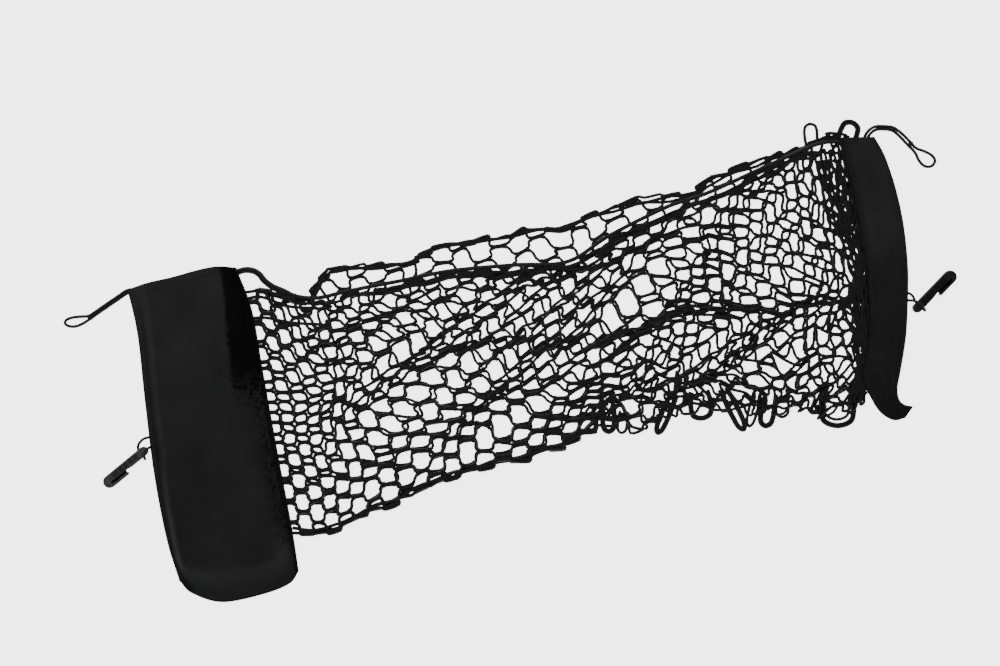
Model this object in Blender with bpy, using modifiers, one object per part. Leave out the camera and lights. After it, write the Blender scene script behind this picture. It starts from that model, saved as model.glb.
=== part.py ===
"""A cargo net with a storage pouch at one end, lying flat as it is laid out.

Two layers of knotted netting run from the pouch to a folded cloth sleeve. An elastic
cord gathers the top of the front layer, corner loops of elastic cord leave the pouch and
the sleeve, and a moulded hook hangs from each of them on a short loop of cord.

Run it with: blender --background --python part.py
The scene is in metres. +X runs from the pouch to the sleeve, +Y towards the pouch's
mouth, +Z up, and z = 0 is the surface that the net lies on. The tables are in millimetres.
"""

import math

import bmesh
import bpy
from mathutils import Matrix, Vector

MM = 0.001

# Driving dimensions
CLOTH = 1.8 * MM  # thickness of the pouch's and the sleeve's cloth
NETTING = 2.6 * MM  # thickness of one layer of netting
STRAND_WIDTH = 5.0 * MM  # two cords side by side
SEAT_GAP = 0.3 * MM  # left between pieces that touch
LOOP_CORD = 3.0 * MM  # diameter of the corner loops' cord
EDGE_CORD = 3.5 * MM  # diameter of the cord along the front layer's top
TETHER_CORD = 2.6 * MM  # diameter of the hooks' short loops

# Heights that the stack of cloth and netting gives
NET_STEP = NETTING + 2 * SEAT_GAP  # from one layer of netting to the next
BACK_LYING = NETTING / 2  # middle of the back layer on the surface
BACK_TUCKED = CLOTH + SEAT_GAP + NETTING / 2  # and where it lies on cloth
SEAM_HIGH = CLOTH + 2 * NET_STEP + SEAT_GAP + CLOTH / 2  # cloth over both layers
SEAM_LOW = CLOTH + SEAT_GAP + CLOTH / 2  # cloth over cloth

# Pouch: outline, each side from its first corner to its last, x and y in millimetres
POUCH_TOP = ((-483, 86), (-457, 94), (-427, 101), (-397, 109), (-375, 113), (-353, 112))
POUCH_LEFT = ((-483, 86), (-471, 31), (-462, -50), (-451, -137), (-436, -214), (-421, -263))
POUCH_RIGHT = ((-353, 112), (-334, 61), (-321, -11), (-304, -105), (-286, -200), (-278, -252))
POUCH_BOTTOM = ((-421, -263), (-406, -278), (-370, -289), (-322, -280), (-289, -267), (-278, -252))
POUCH_COLUMNS = 14
POUCH_ROWS = 18
POUCH_LOFT = 16 * MM  # how far the front panel stands off its seams
POUCH_SEAM = 6 * MM  # flat seam allowance inside the outline
POUCH_LEFT_SLOPE = 18 * MM
POUCH_RIGHT_SLOPES = (12, 25, 30, 29, 26, 23, 20)  # from the mouth to the bottom, in millimetres
POUCH_BOTTOM_SLOPE = 34 * MM
MOUTH_SLOPE = 85 * MM  # how far below its mouth the pouch is full
MOUTH_SHARE = 0.42  # of the loft that is left at the mouth
NET_END_ON_POUCH = 0.885  # share of the pouch's height that the netting is sewn into

# Sleeve: the inner edge faces the netting, the outer one is the fold
SLEEVE_INNER = (
    (369, 267), (383, 211), (398, 133), (405, 61), (403, 19), (397, -20),
    (407, -42), (419, -61), (435, -71), (449, -68),
)
SLEEVE_OUTER = (
    (411, 268), (424, 244), (437, 205), (446, 163), (451, 115), (451, 73), (449, 31),
    (443, -8), (439, -32), (441, -46), (448, -53), (458, -55),
)
SLEEVE_ALONG = 22
SLEEVE_LEAF = 3  # steps across the lower leaf
SLEEVE_FOLD = 5  # steps round the fold
SLEEVE_FACE = 5  # steps across the upper leaf
SLEEVE_CROWN = 2.5 * MM
SLEEVE_TAIL = 0.78  # share of its length at which the sleeve starts to flatten
SLEEVE_FADE = 0.17  # and the share over which its crown goes
SLEEVE_FOLD_RADIUS = (SEAM_HIGH - CLOTH / 2) / 2
SLEEVE_TAIL_RADIUS = 1.6 * MM

# Netting: where its outline runs. The sides lie inside the pouch's seam and the sleeve.
NET_LEFT = ((-352, 80), (-341, 25), (-329, -47), (-314, -125), (-299, -206))
NET_RIGHT = ((391, 247), (402, 193), (412, 121), (416, 61), (413, 13), (405, -21))
BACK_TOP = (
    (-352, 80), (-300, 72), (-258, 74), (-226, 106), (-150, 118), (-118, 134), (0, 157),
    (42, 160), (96, 184), (150, 198), (186, 203), (204, 217), (264, 242), (318, 270), (350, 290),
    (374, 284), (391, 247),
)
FRONT_TOP = (
    (-352, 80), (-312, 70), (-276, 62), (-250, 62), (-222, 75), (-156, 90), (-96, 102), (-20, 109),
    (50, 113), (98, 144), (164, 178), (212, 195), (284, 227), (340, 249), (391, 247),
)
NET_BOTTOM = (
    (-299, -206), (-240, -204), (-204, -186), (-156, -166), (-120, -150), (-60, -127),
    (0, -115), (60, -97), (108, -90), (156, -82), (204, -72), (276, -82), (348, -76),
    (384, -66), (405, -21),
)
# Lengths of the meshes along the netting, in millimetres: both ends are gathered
COLUMN_WIDTHS = (18, 30, 40, 50, 54, 56, 56, 56, 56, 56, 54, 52, 46, 38, 32, 36)
BACK_ROWS = 8
FRONT_ROWS = 7
KNOT_SHIFT = 1 / 6  # of a mesh's length, which turns each brick into a hexagon
POUCH_TUCK = 22 * MM  # netting that lies inside the pouch's seam
SLEEVE_TUCK = 62 * MM  # netting that lies on the sleeve's lower leaf or rises to it
CLIMB = 20 * MM  # length over which it rises from the surface onto the cloth

# Folds of the front layer: share of the width at the start and the end, where along the
# length it starts and ends, its half-width as a share of the width, and its height
FOLDS = (
    {"across": (0.40, 0.60), "along": (0.20, 0.96), "spread": 0.050, "height": 8.0},
    {"across": (0.78, 0.74), "along": (0.55, 0.95), "spread": 0.045, "height": 6.0},
    {"across": (0.16, 0.10), "along": (0.05, 0.40), "spread": 0.045, "height": 4.0},
)
# Unevenness in the plane: size in millimetres, waves along and across, and their phase
RIPPLES = (
    {"size": (2.6, 1.8), "waves": (3.1, 1.3), "phase": 0.4},
    {"size": (1.6, 2.2), "waves": (5.3, 2.6), "phase": 2.1},
    {"size": (1.2, 1.4), "waves": (8.7, 4.1), "phase": 4.4},
)

# Cords: routes of their centres, x, y and z in millimetres
EDGE_ROUTE = (
    (-353.6, 109.6, 4.9), (-341, 115, 4.9), (-329, 110, 4.9), (-320, 99, 4.9), (-311, 84, 4.9),
    (-297, 75, 4.9), (-276, 69, 4.9), (-250, 69, 4.9), (-222, 82, 4.9), (-188, 90, 4.9),
    (-156, 96, 4.9), (-96, 108, 4.9), (-20, 115, 4.9), (44, 119, 4.9), (94, 150, 4.9),
    (162, 184, 4.9), (211, 201, 4.9), (284, 234, 4.9), (330, 254.6, 6.4), (350, 261.4, 6.4),
    (368, 262.6, 6.4), (384, 262.2, 7.0),
)
LEFT_LOOP_ROUTE = (
    (-484.4, 87.4, 1.9), (-492, 82.2, 1.7), (-502, 74.5, 1.6), (-514, 66.5, 1.6), (-522, 61, 1.6),
    (-531, 57.5, 1.6), (-543, 55, 1.6), (-554, 52, 1.6), (-559.5, 47, 1.6), (-556, 41.5, 1.6),
    (-546, 40, 1.6), (-534, 43, 1.6), (-526, 49, 1.6), (-520, 56.6, 1.6), (-512, 62.8, 1.6),
    (-500, 71, 1.6), (-490.4, 78.6, 1.7), (-484.2, 83, 1.9),
)
RIGHT_LOOP_ROUTE = (
    (398, 258, 4.2), (400, 268, 4.0), (405, 276, 2.6), (413, 281, 1.6), (424, 281.5, 1.6),
    (435, 280, 1.6), (445, 273, 1.6), (454, 264, 1.6), (462, 255.5, 1.6), (471, 252, 1.6),
    (480, 247.5, 1.6), (485, 241, 1.6), (481.5, 234, 1.6), (473, 233.5, 1.6), (466, 240, 1.6),
    (461, 250, 1.6), (452, 259.5, 1.6), (442.5, 269.5, 1.6), (434, 276.3, 1.6), (424, 278, 1.6),
    (414.5, 277.4, 1.6), (407.4, 272.6, 2.6), (403.6, 266, 4.0), (401.6, 258, 4.2),
)
CORD_STEP = 2.0  # spacing of a tube's rings, in diameters
CORD_RINGS = 80  # and the most that a tube has

# Hooks: flat moulded bodies with a return lip, drilled across for their loop
HOOK_LENGTH = 54 * MM  # from the centre of the drilled end to that of the far end
HOOK_THICKNESS = 9 * MM
HOOK_SHANK = 11 * MM
HOOK_HEAD = 15.6 * MM
HOOK_LIP_LENGTH = 25 * MM
HOOK_SLIT = 2.4 * MM
HOOK_EDGE = 1.4 * MM  # bevel round its faces
HOOK_HOLE = 3.6 * MM
HOOK_HOLE_AT = 4 * MM
LEFT_HOOK = {"x": -463.5, "y": -108.0, "turn": 219.5, "lip": 1}
RIGHT_HOOK = {"x": 463.0, "y": 63.5, "turn": 46.0, "lip": -1}
LEFT_TETHER_ROUTE = (
    (-457.9, -91.0, 2.3), (-461.6, -90.8, 2.8), (-466.6, -92.0, 3.8), (-470.8, -95.6, 4.4),
    (-472.6, -100.6, 4.5), (-471.0, -105.2, 4.5), (-466.6, -110.5, 4.5), (-462.1, -116.0, 4.5),
    (-459.6, -118.6, 4.0), (-457.0, -120.2, 3.0), (-454.5, -120.9, 2.3),
)
RIGHT_TETHER_ROUTE = (
    (453.1, 79.8, 4.6), (456.0, 78.3, 4.6), (458.8, 74.2, 4.5), (460.6, 71.4, 4.5),
    (465.8, 66.4, 4.5), (469.9, 62.4, 4.5), (472.4, 58.9, 4.5), (471.6, 55.4, 4.5),
    (467.0, 53.2, 4.5), (461.6, 53.8, 4.5), (457.0, 57.0, 4.5), (455.2, 63.0, 4.6),
    (453.1, 68.4, 4.6),
)

CLOTH_COLOUR = (0.012, 0.012, 0.014)
CORD_COLOUR = (0.008, 0.008, 0.009)
HOOK_COLOUR = (0.016, 0.016, 0.017)


def smooth(points):
    """A function from 0..1 to an evenly timed point on a smooth curve through points."""
    spans = 12
    knots = [Vector(p) * MM for p in points]
    knots = [2 * knots[0] - knots[1]] + knots + [2 * knots[-1] - knots[-2]]
    line = [knots[1]]
    for a, b, c, d in zip(knots, knots[1:], knots[2:], knots[3:]):
        for step in range(1, spans + 1):
            t = step / spans
            bend = (c - a) * t + (2 * a - 5 * b + 4 * c - d) * t**2 + (3 * b - a - 3 * c + d) * t**3
            line.append(b + bend / 2)
    lengths = [0.0]
    for a, b in zip(line, line[1:]):
        lengths.append(lengths[-1] + (b - a).length)

    def at(share):
        wanted = min(max(share, 0.0), 1.0) * lengths[-1]
        index = next(k for k in range(1, len(line)) if lengths[k] >= wanted - 1e-12)
        before = lengths[index - 1]
        part = (wanted - before) / (lengths[index] - before)
        return line[index - 1].lerp(line[index], part)

    at.length = lengths[-1]
    return at


def patch(left, right, top, bottom):
    """A function from (u, v) to a point of the area inside four smooth sides."""
    left, right, top, bottom = (smooth(side) for side in (left, right, top, bottom))

    def at(u, v):
        sides = left(v) * (1 - u) + right(v) * u
        ends = top(u) * (1 - v) + bottom(u) * v
        corners = (top(0) * (1 - u) + top(1) * u) * (1 - v) + (bottom(0) * (1 - u) + bottom(1) * u) * v
        return sides + ends - corners

    return at


def ease(t):
    """A smooth step from 0 to 1."""
    t = min(max(t, 0.0), 1.0)
    return t * t * (3 - 2 * t)


def mix(a, b, t):
    return a + (b - a) * t


def between(values, share):
    """The value at a share of the way along evenly spaced ones."""
    place = share * (len(values) - 1)
    index = min(int(place), len(values) - 2)
    return mix(values[index], values[index + 1], place - index)


def material(name, colour, roughness):
    made = bpy.data.materials.new(name)
    made.use_nodes = True
    shader = made.node_tree.nodes["Principled BSDF"]
    shader.inputs["Base Color"].default_value = (*colour, 1.0)
    shader.inputs["Roughness"].default_value = roughness
    shader.inputs["Metallic"].default_value = 0.0
    return made


def add_object(name, data, finish, collection):
    made = bpy.data.objects.new(name, data)
    data.materials.append(finish)
    collection.objects.link(made)
    return made


def thicken(obj, thickness):
    solid = obj.modifiers.new("Thickness", "SOLIDIFY")
    solid.thickness = thickness
    solid.offset = 0.0
    solid.use_even_offset = True
    solid.use_quality_normals = True


def cloth_sheet(name, columns, rows, place, finish, collection):
    """A grid of cloth whose points go where place(u, v) says, given its thickness."""
    work = bmesh.new()
    bmesh.ops.create_grid(work, x_segments=columns, y_segments=rows, size=0.5)
    for vert in work.verts:
        vert.co = place(vert.co.x + 0.5, 0.5 - vert.co.y)
    mesh = bpy.data.meshes.new(name)
    work.to_mesh(mesh)
    work.free()
    mesh.shade_smooth()
    made = add_object(name, mesh, finish, collection)
    thicken(made, CLOTH)
    return made


def pouch_seam_height(u, v):
    """Middle of the front panel's seam, which climbs over the netting on the right."""
    over_net = 1 - ease((v - NET_END_ON_POUCH) / (1 - NET_END_ON_POUCH))
    return mix(SEAM_LOW, mix(SEAM_LOW, SEAM_HIGH, over_net), ease((u - 0.35) / 0.5))


def pouch_front_place():
    """Where the front panel's points lie: full in the middle and flat at its seams."""
    area = patch(POUCH_LEFT, POUCH_RIGHT, POUCH_TOP, POUCH_BOTTOM)
    height = smooth(POUCH_LEFT).length

    def place(u, v):
        u, v = 0.5 - 0.5 * math.cos(math.pi * u), 0.5 - 0.5 * math.cos(math.pi * v)
        point = area(u, v)
        width = (area(1, v) - area(0, v)).length
        from_left = u * width - POUCH_SEAM
        from_right = (1 - u) * width - POUCH_SEAM
        from_bottom = (1 - v) * height - POUCH_SEAM
        right_slope = between(POUCH_RIGHT_SLOPES, v) * MM
        fullness = ease(from_left / POUCH_LEFT_SLOPE) * ease(from_right / right_slope)
        fullness *= ease(from_bottom / POUCH_BOTTOM_SLOPE)
        fullness *= mix(MOUTH_SHARE, 1.0, ease(v * height / MOUTH_SLOPE))
        return Vector((point.x, point.y, pouch_seam_height(u, v) + POUCH_LOFT * fullness))

    return place


def pouch_back(name, finish, collection):
    """The flat back panel, an outline filled and extruded."""
    outline = []
    sides = (
        (POUCH_TOP, POUCH_COLUMNS), (POUCH_RIGHT, POUCH_ROWS),
        (POUCH_BOTTOM[::-1], POUCH_COLUMNS), (POUCH_LEFT[::-1], POUCH_ROWS),
    )
    for side, steps in sides:
        at = smooth(side)
        outline += [at(k / steps) for k in range(steps)]
    curve = bpy.data.curves.new(name, "CURVE")
    curve.dimensions = "2D"
    curve.fill_mode = "BOTH"
    curve.extrude = CLOTH / 2
    spline = curve.splines.new("POLY")
    spline.points.add(len(outline) - 1)
    for target, point in zip(spline.points, outline):
        target.co = (point.x, point.y, 0.0, 1.0)
    spline.use_cyclic_u = True
    made = add_object(name, curve, finish, collection)
    made.location.z = CLOTH / 2
    return made


def sleeve_place():
    """Where the sleeve's points lie: lower leaf, fold at the outer edge, upper leaf."""
    inner, outer = smooth(SLEEVE_INNER), smooth(SLEEVE_OUTER)
    steps = SLEEVE_LEAF + SLEEVE_FOLD + SLEEVE_FACE
    fold_starts, fold_ends = SLEEVE_LEAF / steps, (SLEEVE_LEAF + SLEEVE_FOLD) / steps

    def place(u, v):
        near, far = inner(v), outer(v)
        across = (far - near).normalized()
        radius = mix(SLEEVE_FOLD_RADIUS, SLEEVE_TAIL_RADIUS, ease((v - SLEEVE_TAIL) / (1 - SLEEVE_TAIL)))
        centre = far - across * radius
        if u <= fold_starts:
            flat = near.lerp(centre, u / fold_starts)
            height = 0.0
        elif u < fold_ends:
            angle = math.pi * ((u - fold_starts) / (fold_ends - fold_starts) - 0.5)
            flat = centre + across * radius * math.cos(angle)
            height = radius * (1 + math.sin(angle))
        else:
            share = (u - fold_ends) / (1 - fold_ends)
            flat = centre.lerp(near, share)
            crown = SLEEVE_CROWN * (1 - ease((v - SLEEVE_TAIL) / SLEEVE_FADE))
            height = 2 * radius + crown * math.sin(math.pi * share)
        return Vector((flat.x, flat.y, CLOTH / 2 + height))

    return place


def rippled(point, u, v):
    """The point moved a little in the plane, and not at all at the netting's two ends."""
    held = ease(u * 12) * ease((1 - u) * 12)
    for ripple in RIPPLES:
        along, across = ripple["waves"]
        turn = 2 * math.pi * (along * u + across * v) + ripple["phase"]
        wide, high = ripple["size"]
        point += Vector((wide * math.sin(turn), high * math.cos(turn))) * MM * held
    return point


def lying_share(u):
    """1 where the netting lies on the surface, and 0 where its ends are tucked into cloth."""
    length = sum(COLUMN_WIDTHS) * MM
    from_pouch = u * length - POUCH_TUCK
    from_sleeve = (1 - u) * length - SLEEVE_TUCK
    return ease(min(from_pouch, from_sleeve) / CLIMB)


def column_share(column):
    """How far along the netting a column of knots stands, which may lie between two."""
    whole = int(column)
    part = column - whole
    done = sum(COLUMN_WIDTHS[:whole])
    if part:
        done += part * COLUMN_WIDTHS[whole]
    return done / sum(COLUMN_WIDTHS)


def back_height(u):
    """Middle of the back layer: on the surface, and up over cloth at its two ends."""
    return mix(BACK_TUCKED, BACK_LYING, lying_share(u))


def front_height(u, v):
    """Middle of the front layer: on the back one, and up over its folds."""
    height = back_height(u) + NET_STEP
    for fold in FOLDS:
        start, end = fold["along"]
        share = (u - start) / (end - start)
        away = (v - mix(*fold["across"], share)) / fold["spread"]
        swell = ease(share * 5) * ease((1 - share) * 5)
        height += fold["height"] * MM * math.exp(-away * away) * swell * lying_share(u)
    return height


def net_layer(name, rows, area, height, finish, collection):
    """Netting: bricks staggered by half, drawn out to hexagons, then cut to strands."""
    columns = len(COLUMN_WIDTHS)
    work = bmesh.new()
    bmesh.ops.create_grid(work, x_segments=columns, y_segments=2 * rows, size=0.5)
    lines = {}
    for vert in work.verts:
        lines[vert] = (round((vert.co.x + 0.5) * columns), round((0.5 - vert.co.y) * 2 * rows))
    halves = []
    for face in work.faces:
        column = min(lines[vert][0] for vert in face.verts)
        row = min(lines[vert][1] for vert in face.verts)
        if column % 2 and row in (0, 2 * rows - 1):
            halves.append(face)
    bmesh.ops.delete(work, geom=halves, context="FACES")
    inner = []
    for edge in work.edges:
        (column, row), (other, last) = (lines[vert] for vert in edge.verts)
        if row == last and (min(column, other) + row) % 2 and len(edge.link_faces) == 2:
            inner.append(edge)
    bmesh.ops.dissolve_edges(work, edges=inner)
    for vert in work.verts:
        column, row = lines[vert]
        pulled = KNOT_SHIFT if (column + row) % 2 == 0 else -KNOT_SHIFT
        if column in (0, columns):
            pulled = 0.0
        u, v = column_share(column + pulled), row / (2 * rows)
        flat = rippled(area(u, v), u, v)
        vert.co = (flat.x, flat.y, height(u, v))
    meshes = list(work.faces)
    bmesh.ops.inset_individual(work, faces=meshes, thickness=STRAND_WIDTH / 2, use_even_offset=True)
    bmesh.ops.delete(work, geom=meshes, context="FACES")
    bmesh.ops.recalc_face_normals(work, faces=work.faces)
    mesh = bpy.data.meshes.new(name)
    work.to_mesh(mesh)
    work.free()
    made = add_object(name, mesh, finish, collection)
    thicken(made, NETTING)
    return made


def cord(name, route, diameter, finish, collection):
    """A round tube along a smooth curve through the route's points."""
    at = smooth(route)
    rings = min(CORD_RINGS, round(at.length / (CORD_STEP * diameter)))
    curve = bpy.data.curves.new(name, "CURVE")
    curve.dimensions = "3D"
    curve.bevel_depth = diameter / 2
    curve.bevel_resolution = 2
    curve.use_fill_caps = True
    spline = curve.splines.new("POLY")
    spline.points.add(rings)
    for k, target in enumerate(spline.points):
        target.co = (*at(k / rings), 1.0)
    return add_object(name, curve, finish, collection)


def arc(centre, radius, first, last, steps):
    """Points of an arc, with its angles in degrees."""
    made = []
    for k in range(steps + 1):
        angle = math.radians(mix(first, last, k / steps))
        made.append((centre[0] + radius * math.cos(angle), centre[1] + radius * math.sin(angle)))
    return made


def hook_outline(lip):
    """Outline of a hook with its drilled end at the origin; its lip lies towards +Y * lip."""
    shank, head = HOOK_SHANK / 2, HOOK_HEAD / 2
    outside = HOOK_HEAD - shank
    slit_root = HOOK_LENGTH - HOOK_SLIT
    lip_tip = HOOK_LENGTH - HOOK_LIP_LENGTH
    lip_inner = shank + HOOK_SLIT / 2
    points = arc((0, 0), shank, 270, 90, 8)
    points += [(lip_tip - 3 * HOOK_SLIT, shank), (lip_tip, shank - HOOK_SLIT / 2)]
    points += arc((slit_root, shank), HOOK_SLIT / 2, -90, 90, 4)
    points += [(lip_tip + HOOK_SLIT, lip_inner), (lip_tip, mix(lip_inner, outside, 0.5))]
    points += [(lip_tip + HOOK_SLIT, outside)]
    points += arc((HOOK_LENGTH, outside - head), head, 90, -90, 10)
    return [(x, y * lip) for x, y in points]


def hook(name, seat, finish, collection, cutters):
    """A moulded hook lying on the surface, with a hole drilled across it for its loop."""
    work = bmesh.new()
    outline = [work.verts.new((x, y, 0.0)) for x, y in hook_outline(seat["lip"])]
    base = work.faces.new(outline)
    raised = bmesh.ops.extrude_face_region(work, geom=[base])
    for item in raised["geom"]:
        if isinstance(item, bmesh.types.BMVert):
            item.co.z += HOOK_THICKNESS
    bmesh.ops.recalc_face_normals(work, faces=work.faces)
    mesh = bpy.data.meshes.new(name)
    work.to_mesh(mesh)
    work.free()
    made = add_object(name, mesh, finish, collection)
    place = Matrix.Translation((seat["x"] * MM, seat["y"] * MM, 0.0))
    made.matrix_world = place @ Matrix.Rotation(math.radians(seat["turn"]), 4, "Z")
    edges = made.modifiers.new("Edges", "BEVEL")
    edges.width = HOOK_EDGE
    edges.segments = 1
    edges.limit_method = "ANGLE"
    edges.angle_limit = math.radians(60)
    drill_work = bmesh.new()
    bmesh.ops.create_cone(
        drill_work, cap_ends=True, segments=12, radius1=HOOK_HOLE / 2, radius2=HOOK_HOLE / 2,
        depth=2 * HOOK_HEAD, matrix=Matrix.Rotation(math.radians(90), 4, "X"),
    )
    drill_mesh = bpy.data.meshes.new(name + "_drill")
    drill_work.to_mesh(drill_mesh)
    drill_work.free()
    drill = bpy.data.objects.new(name + "_drill", drill_mesh)
    cutters.objects.link(drill)
    drill.matrix_world = made.matrix_world @ Matrix.Translation((HOOK_HOLE_AT, 0, HOOK_THICKNESS / 2))
    drill.hide_render = True
    drill.display_type = "WIRE"
    hole = made.modifiers.new("Hole", "BOOLEAN")
    hole.operation = "DIFFERENCE"
    hole.object = drill
    return made


def new_collection(name):
    made = bpy.data.collections.new(name)
    bpy.context.scene.collection.children.link(made)
    return made


def main():
    for obj in list(bpy.data.objects):
        bpy.data.objects.remove(obj)
    net = new_collection("Cargo net")
    cutters = new_collection("Cutters")
    cloth = material("Pouch cloth", CLOTH_COLOUR, 0.75)
    strands = material("Netting", CORD_COLOUR, 0.6)
    elastic = material("Elastic cord", CORD_COLOUR, 0.55)
    plastic = material("Hook plastic", HOOK_COLOUR, 0.4)

    pouch_back("pouch_back", cloth, net)
    cloth_sheet("pouch_front", POUCH_COLUMNS, POUCH_ROWS, pouch_front_place(), cloth, net)
    sleeve_steps = SLEEVE_LEAF + SLEEVE_FOLD + SLEEVE_FACE
    cloth_sheet("end_sleeve", sleeve_steps, SLEEVE_ALONG, sleeve_place(), cloth, net)

    back_area = patch(NET_LEFT, NET_RIGHT, BACK_TOP, NET_BOTTOM)
    front_area = patch(NET_LEFT, NET_RIGHT, FRONT_TOP, NET_BOTTOM)
    net_layer("net_back", BACK_ROWS, back_area, lambda u, v: back_height(u), strands, net)
    net_layer("net_front", FRONT_ROWS, front_area, front_height, strands, net)

    cord("edge_cord", EDGE_ROUTE, EDGE_CORD, elastic, net)
    cord("corner_loop_left", LEFT_LOOP_ROUTE, LOOP_CORD, elastic, net)
    cord("corner_loop_right", RIGHT_LOOP_ROUTE, LOOP_CORD, elastic, net)
    hook("hook_left", LEFT_HOOK, plastic, net, cutters)
    hook("hook_right", RIGHT_HOOK, plastic, net, cutters)
    cord("hook_tether_left", LEFT_TETHER_ROUTE, TETHER_CORD, elastic, net)
    cord("hook_tether_right", RIGHT_TETHER_ROUTE, TETHER_CORD, elastic, net)


main()
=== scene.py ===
"""The looks of a cargo net that lies flat: a cloth pouch at one end, two layers of knotted
elastic netting, a folded cloth sleeve at the other end, corner loops and moulded hooks.

It is laid out as a Blender add-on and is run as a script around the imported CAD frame.
Lengths in the tables are in millimetres and everything else is in metres. +X runs from the
pouch to the sleeve, +Y towards the pouch's mouth, and z = 0 is the surface under the net.
"""

import math
import random

import bmesh
import bpy
import numpy as np
from mathutils import Matrix, Vector


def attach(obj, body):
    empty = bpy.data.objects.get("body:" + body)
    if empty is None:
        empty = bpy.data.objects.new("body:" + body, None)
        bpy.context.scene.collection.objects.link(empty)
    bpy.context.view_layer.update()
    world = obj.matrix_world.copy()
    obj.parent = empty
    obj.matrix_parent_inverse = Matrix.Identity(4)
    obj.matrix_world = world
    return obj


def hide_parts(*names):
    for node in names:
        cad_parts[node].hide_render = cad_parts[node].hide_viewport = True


bl_info = {
    "name": "Cargo net looks",
    "version": (1, 0, 0),
    "blender": (4, 5, 0),
    "location": "View3D > Sidebar > Cargo net",
    "description": "Netting, pouch, sleeve, cords and hooks of a laid-out cargo net",
    "category": "Object",
}

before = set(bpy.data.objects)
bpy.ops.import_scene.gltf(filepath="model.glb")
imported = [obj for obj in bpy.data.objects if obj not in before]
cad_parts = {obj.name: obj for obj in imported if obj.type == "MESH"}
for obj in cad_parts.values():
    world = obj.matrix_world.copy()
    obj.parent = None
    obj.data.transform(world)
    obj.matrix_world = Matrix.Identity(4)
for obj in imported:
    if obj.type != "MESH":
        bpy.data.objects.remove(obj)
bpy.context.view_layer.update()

MM = 0.001
BODY = "root"

# What the CAD solids are made from, repeated so that each piece lies where its solid does
CLOTH = 1.8 * MM
NETTING = 2.6 * MM
SEAT_GAP = 0.3 * MM
NET_STEP = NETTING + 2 * SEAT_GAP
SEAM_HIGH = CLOTH + 2 * NET_STEP + SEAT_GAP + CLOTH / 2
SEAM_LOW = CLOTH + SEAT_GAP + CLOTH / 2

POUCH_TOP = ((-483, 86), (-457, 94), (-427, 101), (-397, 109), (-375, 113), (-353, 112))
POUCH_LEFT = ((-483, 86), (-471, 31), (-462, -50), (-451, -137), (-436, -214), (-421, -263))
POUCH_RIGHT = ((-353, 112), (-334, 61), (-321, -11), (-304, -105), (-286, -200), (-278, -252))
POUCH_BOTTOM = ((-421, -263), (-406, -278), (-370, -289), (-322, -280), (-289, -267), (-278, -252))
# How full the pouch is, and over what lengths its sides rise
POUCH_LOFT = 16 * MM
POUCH_SEAM = 6 * MM
POUCH_LEFT_SLOPE = 18 * MM
POUCH_RIGHT_SLOPES = (12, 25, 30, 29, 26, 23, 20)
POUCH_BOTTOM_SLOPE = 34 * MM
MOUTH_SLOPE = 85 * MM
MOUTH_SHARE = 0.42
NET_END_ON_POUCH = 0.885

SLEEVE_INNER = (
    (369, 267), (383, 211), (398, 133), (405, 61), (403, 19), (397, -20),
    (407, -42), (419, -61), (435, -71), (449, -68),
)
SLEEVE_OUTER = (
    (411, 268), (424, 244), (437, 205), (446, 163), (451, 115), (451, 73), (449, 31),
    (443, -8), (439, -32), (441, -46), (448, -53), (458, -55),
)
# The fold's place among the grid's shares, and where the sleeve flattens into its tail
SLEEVE_FOLD_STARTS = 3 / 13
SLEEVE_FOLD_ENDS = 8 / 13
SLEEVE_CROWN = 2.5 * MM
SLEEVE_TAIL = 0.78
SLEEVE_FADE = 0.17
SLEEVE_FOLD_RADIUS = (SEAM_HIGH - CLOTH / 2) / 2
SLEEVE_TAIL_RADIUS = 1.6 * MM

NET_LEFT = ((-352, 80), (-341, 25), (-329, -47), (-314, -125), (-299, -206))
NET_RIGHT = ((391, 247), (402, 193), (412, 121), (416, 61), (413, 13), (405, -21))
BACK_TOP = (
    (-352, 80), (-326, 84), (-300, 79), (-275, 72), (-261, 77), (-253, 92), (-249, 107),
    (-236, 112), (-150, 118), (-118, 134), (0, 157),
    (42, 160), (96, 184), (150, 198), (186, 203), (204, 217), (264, 242), (318, 270), (350, 290),
    (374, 284), (391, 247),
)
FRONT_TOP = (
    (-352, 80), (-328, 84), (-306, 80), (-288, 73), (-268, 68), (-250, 69), (-222, 77),
    (-156, 90), (-96, 102), (-20, 109),
    (50, 113), (98, 144), (164, 178), (212, 195), (284, 227), (340, 249), (391, 247),
)
NET_BOTTOM = (
    (-299, -206), (-240, -204), (-204, -186), (-156, -166), (-120, -150), (-60, -127),
    (0, -115), (60, -97), (108, -90), (156, -82), (204, -72), (276, -82), (348, -76),
    (384, -66), (405, -21),
)
# How far the netting is tucked into the cloth at its ends, and over what length it comes down
NET_LENGTH = 770 * MM
POUCH_TUCK = 22 * MM
SLEEVE_TUCK = 62 * MM
CLIMB = 20 * MM
# Folds that the front layer lies in: where across at their two ends, and over which stretch
FOLDS = (
    {"across": (0.40, 0.60), "along": (0.20, 0.96), "spread": 0.050, "height": 8.0},
    {"across": (0.78, 0.74), "along": (0.55, 0.95), "spread": 0.045, "height": 6.0},
    {"across": (0.16, 0.10), "along": (0.05, 0.40), "spread": 0.045, "height": 4.0},
)


def at_height(high, *points):
    """A stretch of a cord's route that keeps to one height."""
    return tuple((x, y, high) for x, y in points)


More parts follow.
